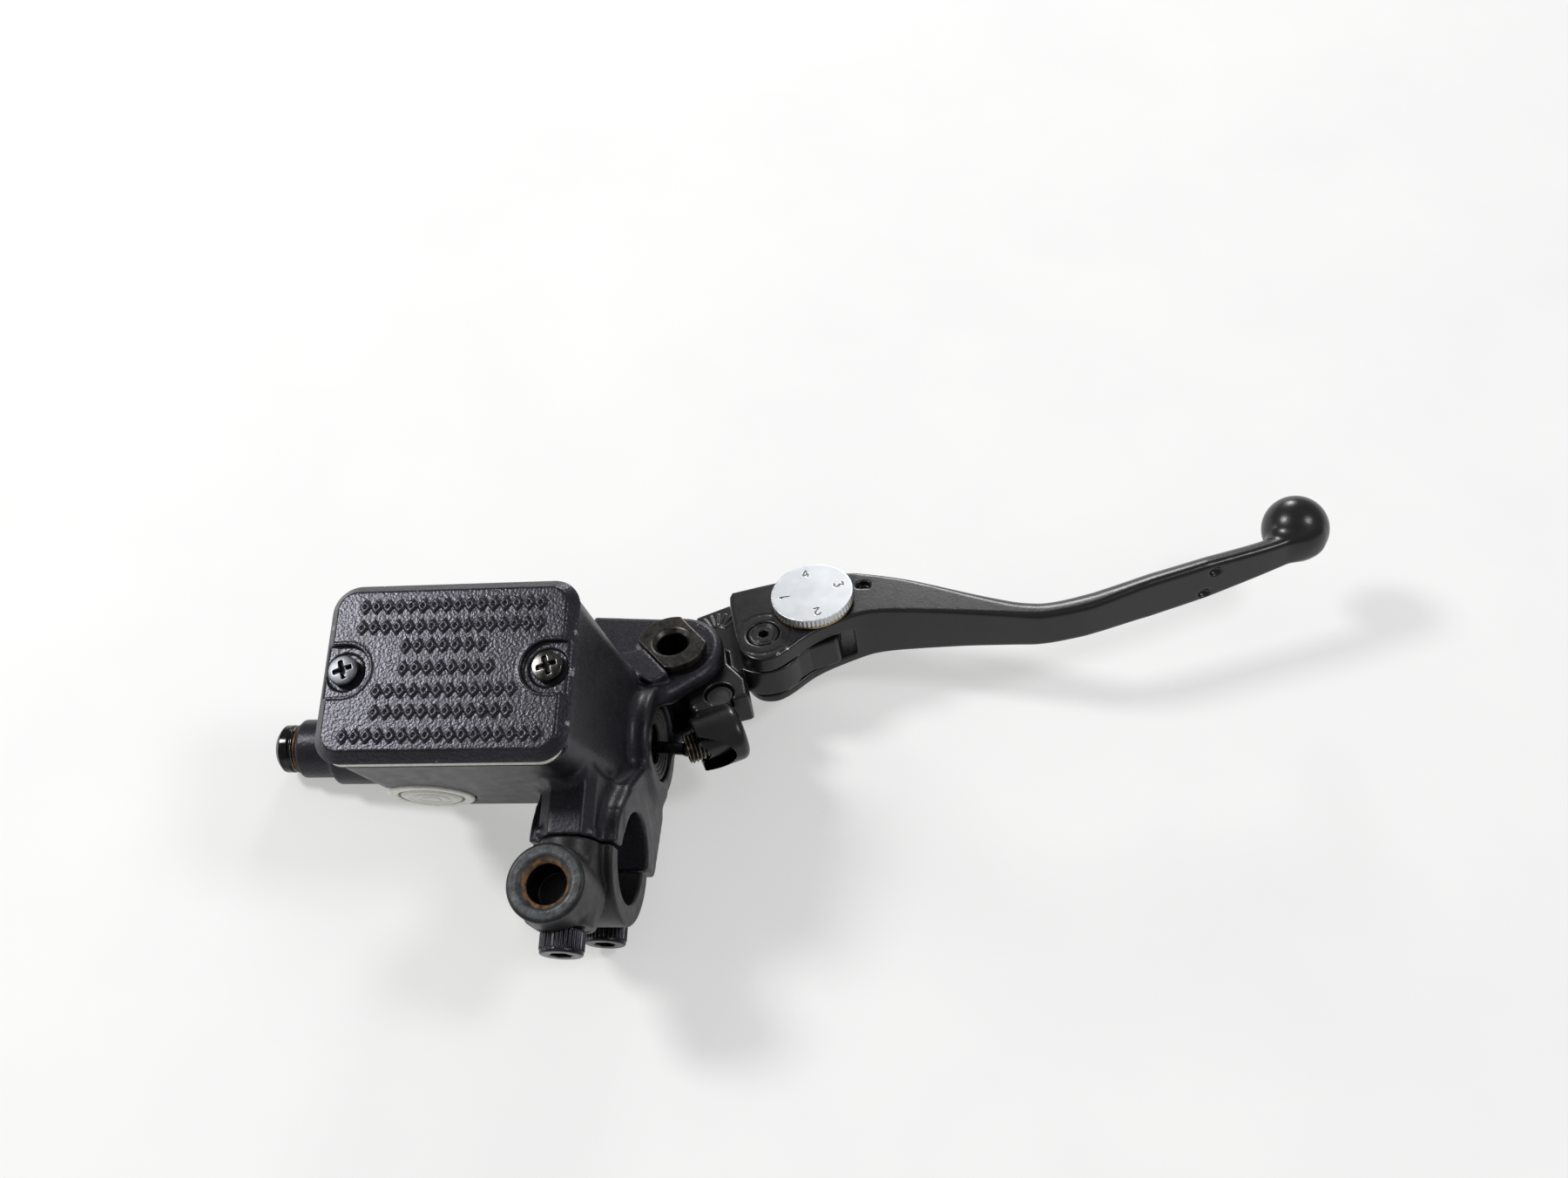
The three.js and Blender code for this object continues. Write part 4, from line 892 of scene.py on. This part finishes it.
brass = steel("brass", (0.30, 0.20, 0.07), (0.46, 0.33, 0.13), rough=(0.25, 0.42), shade_in_hollows=0.6)
copper = steel("copper", (0.05, 0.025, 0.014), (0.13, 0.06, 0.035), rough=(0.35, 0.5), shade_in_hollows=0.8)
rubber = moulded("rubber", (0.006, 0.006, 0.006), (0.014, 0.014, 0.014))
boot_rubber = moulded("boot_rubber", (0.010, 0.010, 0.010), (0.045, 0.042, 0.038), rough=(0.45, 0.65))
cream = moulded("cream_plastic", (0.48, 0.46, 0.41), (0.66, 0.64, 0.58), rough=(0.4, 0.6))
sight_white = moulded("sight_white", (0.58, 0.57, 0.51), (0.76, 0.75, 0.70), rough=(0.35, 0.5))
window = moulded("window", (0.40, 0.39, 0.34), (0.52, 0.51, 0.46), rough=(0.12, 0.22), bump_mm=0.004,
                 specular=0.6)


# ---------- the pieces ----------

MASTER = "master_cylinder"
CARRIER = "carrier"
BLADE_BODY = "blade"


def at_lever(x, y):
    return LEVER @ Matrix.Translation((x, y, 0))


grow("body_casting.skin", casting, (-88, -1, -50), (28, 86, 43), 0.65, cast_black, MASTER,
     ("body_casting",), wear=0.9)
grow("reservoir_cap.skin", lid, (-58, 10, 40), (7, 58, 46), 0.28, lid_black, MASTER,
     ("reservoir_cap",), wear=0.6)
for side, screw_x, metal, slot in (("left", SCREWS_X[0], head_steel, "bright_steel"),
                                   ("right", SCREWS_X[1], oily_steel, "black_steel")):
    grow("cap_screw_" + side + ".skin", lid_screw, (-5, -5, 26), (5, 5, 46), 0.16, metal, MASTER,
         ("cap_screw_" + side,), Matrix.Translation((screw_x, CYL_Y, 0)), 0.4)
grow("sight_ring.skin", turned(SIGHT_RING, 1, (0, 0)), (-12, -2, -12), (12, 3, 12), 0.2, sight_white, MASTER,
     ("sight_glass_ring",), SIGHT, 0.4)
grow("sight_window.skin", turned(SIGHT_GLASS, 1, (0, 0)), (-9, -2, -9), (9, 6, 9), 0.2, window, MASTER,
     ("sight_glass",), SIGHT, 0.4)
grow("clamp_cap.skin", clamp_cap, (-12, -25, -26), (12, 1, 33), 0.34, clamp_black, MASTER,
     ("clamp_cap",), wear=0.8)
for level, seat, z in (("upper", -20.9, CLAMP_BOLT_Z), ("lower", -11.5, -CLAMP_BOLT_Z)):
    aim = Matrix.Translation((0, seat, z)) @ Matrix.Rotation(math.pi / 2, 4, "X")
    grow("clamp_screw_" + level + ".skin", socket_screw(12 - seat), (-6, -6, -34), (6, 6, 7), 0.2,
         black_steel, MASTER, ("clamp_screw_" + level,), aim, 0.4)
for node, outline, (start, end), reach, step, finish, slot, wear in (
        ("outlet_union", UNION, (-94, -77), 8, 0.2, union_steel, "black_steel", 0.4),
        ("outlet_washer", WASHER, (-89, -85), 8, 0.18, copper, "copper_seal", 0.3),
        ("dust_boot", BOOT, (6, 14), 13, 0.22, boot_rubber, "rubber", 0.4)):
    grow(node + ".skin", turned(outline, 0, (CYL_Y, CYL_Z)), (start, CYL_Y - reach, CYL_Z - reach),
         (end, CYL_Y + reach, CYL_Z + reach), step, finish, MASTER, (node,), wear=wear)
grow("pivot_pin.skin", pivot_pin, (-11, -11, -18), (11, 11, 14), 0.26, pin_steel, MASTER,
     ("pivot_pin",), at_lever(*PIVOT), 0.5)
grow("pivot_nut.skin", pivot_nut, (-11, -11, -17), (11, 11, -9), 0.26, bright_steel, MASTER,
     ("pivot_nut",), at_lever(*PIVOT), 0.5)
grow("lever_carrier.skin", carrier, (1, 33, -8), (56, 86, 9), 0.34, lever_black, CARRIER,
     ("lever_carrier",), LEVER, 0.7)
grow("lock_pin.skin", lock_pin, (-5, -5, -3), (5, 5, 5), 0.16, rubber, CARRIER, ("lock_pin",),
     at_lever(*LOCK_PIN), 0.3)
grow("adjuster_screw.skin", adjuster_screw, (-5, -5, -5), (12, 5, 5), 0.16, thread_steel, CARRIER,
     ("adjuster_screw",), at_lever(*BARREL_FACE) @ Matrix.Rotation(BARREL_ANGLE, 4, "Z"), 0.35)
grow("lever_blade.skin", blade, (22, 55, -11), (185, 121, 11), 0.4, lever_black, BLADE_BODY,
     ("lever_blade",), LEVER, 0.8)
grow("blade_screw.skin", blade_screw, (-5, -5, -9), (5, 5, 9), 0.18, lever_black, BLADE_BODY,
     ("blade_pivot_screw",), at_lever(*BLADE_PIVOT), 0.3)
grow("adjuster_wheel.skin", wheel, (-12, -12, 7), (12, 12, 13), 0.15, wheel_steel, "wheel",
     ("adjuster_wheel",), at_lever(*WHEEL), 0.4)


# ---------- return spring ----------

SPRING_LOW, SPRING_HIGH = -49.5, -36.4


def return_spring(coil=5.2, wire=0.4, turns=4, around=32, sides=12):
    """An open coil spring wound about the bore's axis, between SPRING_LOW and SPRING_HIGH."""
    points, faces = [], []
    low, high = SPRING_LOW + wire, SPRING_HIGH - wire
    for i in range(turns * around + 1):
        angle = 2 * math.pi * i / around
        outward = Vector((0, math.cos(angle), math.sin(angle)))
        middle = Vector((low + (high - low) * i / (turns * around), CYL_Y, CYL_Z)) + outward * coil
        for k in range(sides):
            spot = 2 * math.pi * k / sides
            along = Vector((wire * math.sin(spot), 0, 0))
            points.append((middle + outward * (wire * math.cos(spot)) + along) * MM)
    for i in range(turns * around):
        for k in range(sides):
            a, b = i * sides + k, i * sides + (k + 1) % sides
            faces.append((a, b, b + sides, a + sides))
    last = turns * around * sides
    faces += [tuple(range(sides - 1, -1, -1)), tuple(range(last, last + sides))]
    mesh = bpy.data.meshes.new("return_spring.skin")
    mesh.from_pydata([tuple(p) for p in points], [], faces)
    mesh.polygons.foreach_set("use_smooth", [True] * (len(faces) - 2) + [False] * 2)
    mesh.materials.append(bright_steel)
    piece = in_scene("return_spring.skin", mesh)
    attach(piece, MASTER)
    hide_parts("return_spring")
    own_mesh(piece)


return_spring()


# ---------- carried-over pieces ----------

CARRIED = {
    "diaphragm_plate": cream, "diaphragm": rubber, "piston_washer": bright_steel, "circlip": bright_steel,
    "piston": piston_metal, "primary_cup": rubber, "secondary_cup": rubber,
    "pushrod": black_steel, "pivot_bush": brass, "blade_bush": brass, "detent_ball": bright_steel,
    "detent_spring": bright_steel, "adjuster_cam": bright_steel,
}
for item in list(bpy.context.scene.objects):
    if item.type == "MESH" and item.name in CARRIED:
        for place in item.material_slots:
            place.link = "OBJECT"
            place.material = CARRIED[item.name]


# ---------- table, light and camera ----------

FLOOR_GLOW = 0.44
TABLE_REACH = 6000
TABLE_GAP = 0.25
TABLE_CELLS = 6
RESTING_POINTS = ((10, 51.9, -41.7), (-1.9, -11.2, -24.0), (-74, 30.8, -24.0))


def table():
    """The pale surface under the part's three lowest points, glowing a little as a bright floor does."""
    support = [Vector(p) for p in RESTING_POINTS]
    up = (support[1] - support[0]).cross(support[2] - support[0]).normalized()
    up = up if up.z > 0 else -up
    middle = Vector((45, 45, 0))
    middle -= up * (up.dot(middle - support[0]) + TABLE_GAP)
    across = up.cross(Vector((0, 1, 0))).normalized()
    along = up.cross(across)
    row = TABLE_CELLS + 1
    places = np.linspace(-TABLE_REACH, TABLE_REACH, row)
    corners = [middle + across * a + along * b for a in places for b in places]
    faces = [(i * row + j, i * row + j + 1, (i + 1) * row + j + 1, (i + 1) * row + j)
             for i in range(TABLE_CELLS) for j in range(TABLE_CELLS)]
    mesh = bpy.data.meshes.new("table")
    mesh.from_pydata([tuple(c * MM) for c in corners], [], faces)
    made = in_scene("table", mesh)
    n = Nodes("table_white")
    colour = n.mix(n.ramp(n.noise(60, 3), 0.3, 0.7), (0.49, 0.49, 0.488), (0.52, 0.52, 0.515))
    n.shader.inputs["Emission Color"].default_value = (1.0, 1.0, 0.985, 1)
    n.shader.inputs["Emission Strength"].default_value = FLOOR_GLOW
    rough = n.ramp(n.noise(5, 4), 0.3, 0.7, 0.85, 0.95)
    normal = n.bump(n.noise(0.8, 3), 0.01, 0.5)
    made.data.materials.append(n.finish(colour, rough, 0.0, normal, Specular_IOR_Level=0.05))


def lamp(name, place, target, size, power, colour=(1, 1, 1)):
    data = bpy.data.lights.new(name, "AREA")
    data.shape = "DISK"
    data.size = size
    data.energy = power
    data.color = colour
    made = in_scene(name, data)
    made.location = place
    made.rotation_euler = (Vector(target) - Vector(place)).to_track_quat("-Z", "Y").to_euler()


table()
CENTRE = (0.04, 0.045, 0.0)
lamp("key", (-0.632, 0.416, 0.93), CENTRE, 0.26, 9, (1.0, 1.0, 1.0))
lamp("right", (0.95, 0.25, 0.9), CENTRE, 0.3, 5, (1.0, 0.96, 1.0))
lamp("left", (-1.2, 0.05, 0.3), CENTRE, 0.3, 2.0, (0.97, 0.98, 1.0))
lamp("back", (0.05, 1.05, 0.08), CENTRE, 0.25, 3.4)
ROOM_LIGHT = 0.36
world = bpy.data.worlds.new("room")
world.use_nodes = True
background = world.node_tree.nodes["Background"]
background.inputs["Color"].default_value = (0.97, 0.985, 1.0, 1)
background.inputs["Strength"].default_value = ROOM_LIGHT
bpy.context.scene.world = world

CAMERA = (0.13065, -0.10511, 0.41848)
LENS_MM = 42
EXPOSURE = -0.12
RIGHT, DOWN, AHEAD = (0.982, 0.044, -0.184), (-0.030, -0.925, -0.379), (-0.187, 0.378, -0.907)


def camera():
    u, _, v = np.linalg.svd(np.array([RIGHT, DOWN, AHEAD]))
    turn = u @ v
    data = bpy.data.cameras.new("camera")
    data.sensor_width = 36
    data.lens = LENS_MM
    data.clip_start, data.clip_end = 0.02, 20
    made = in_scene("camera", data)
    columns = [turn[0], -turn[1], -turn[2]]
    pose = Matrix.Identity(4)
    for i, column in enumerate(columns):
        for j in range(3):
            pose[j][i] = column[j]
    pose.translation = CAMERA
    made.matrix_world = pose
    bpy.context.scene.camera = made


camera()
bpy.context.scene.view_settings.view_transform = "Standard"
bpy.context.scene.view_settings.exposure = EXPOSURE
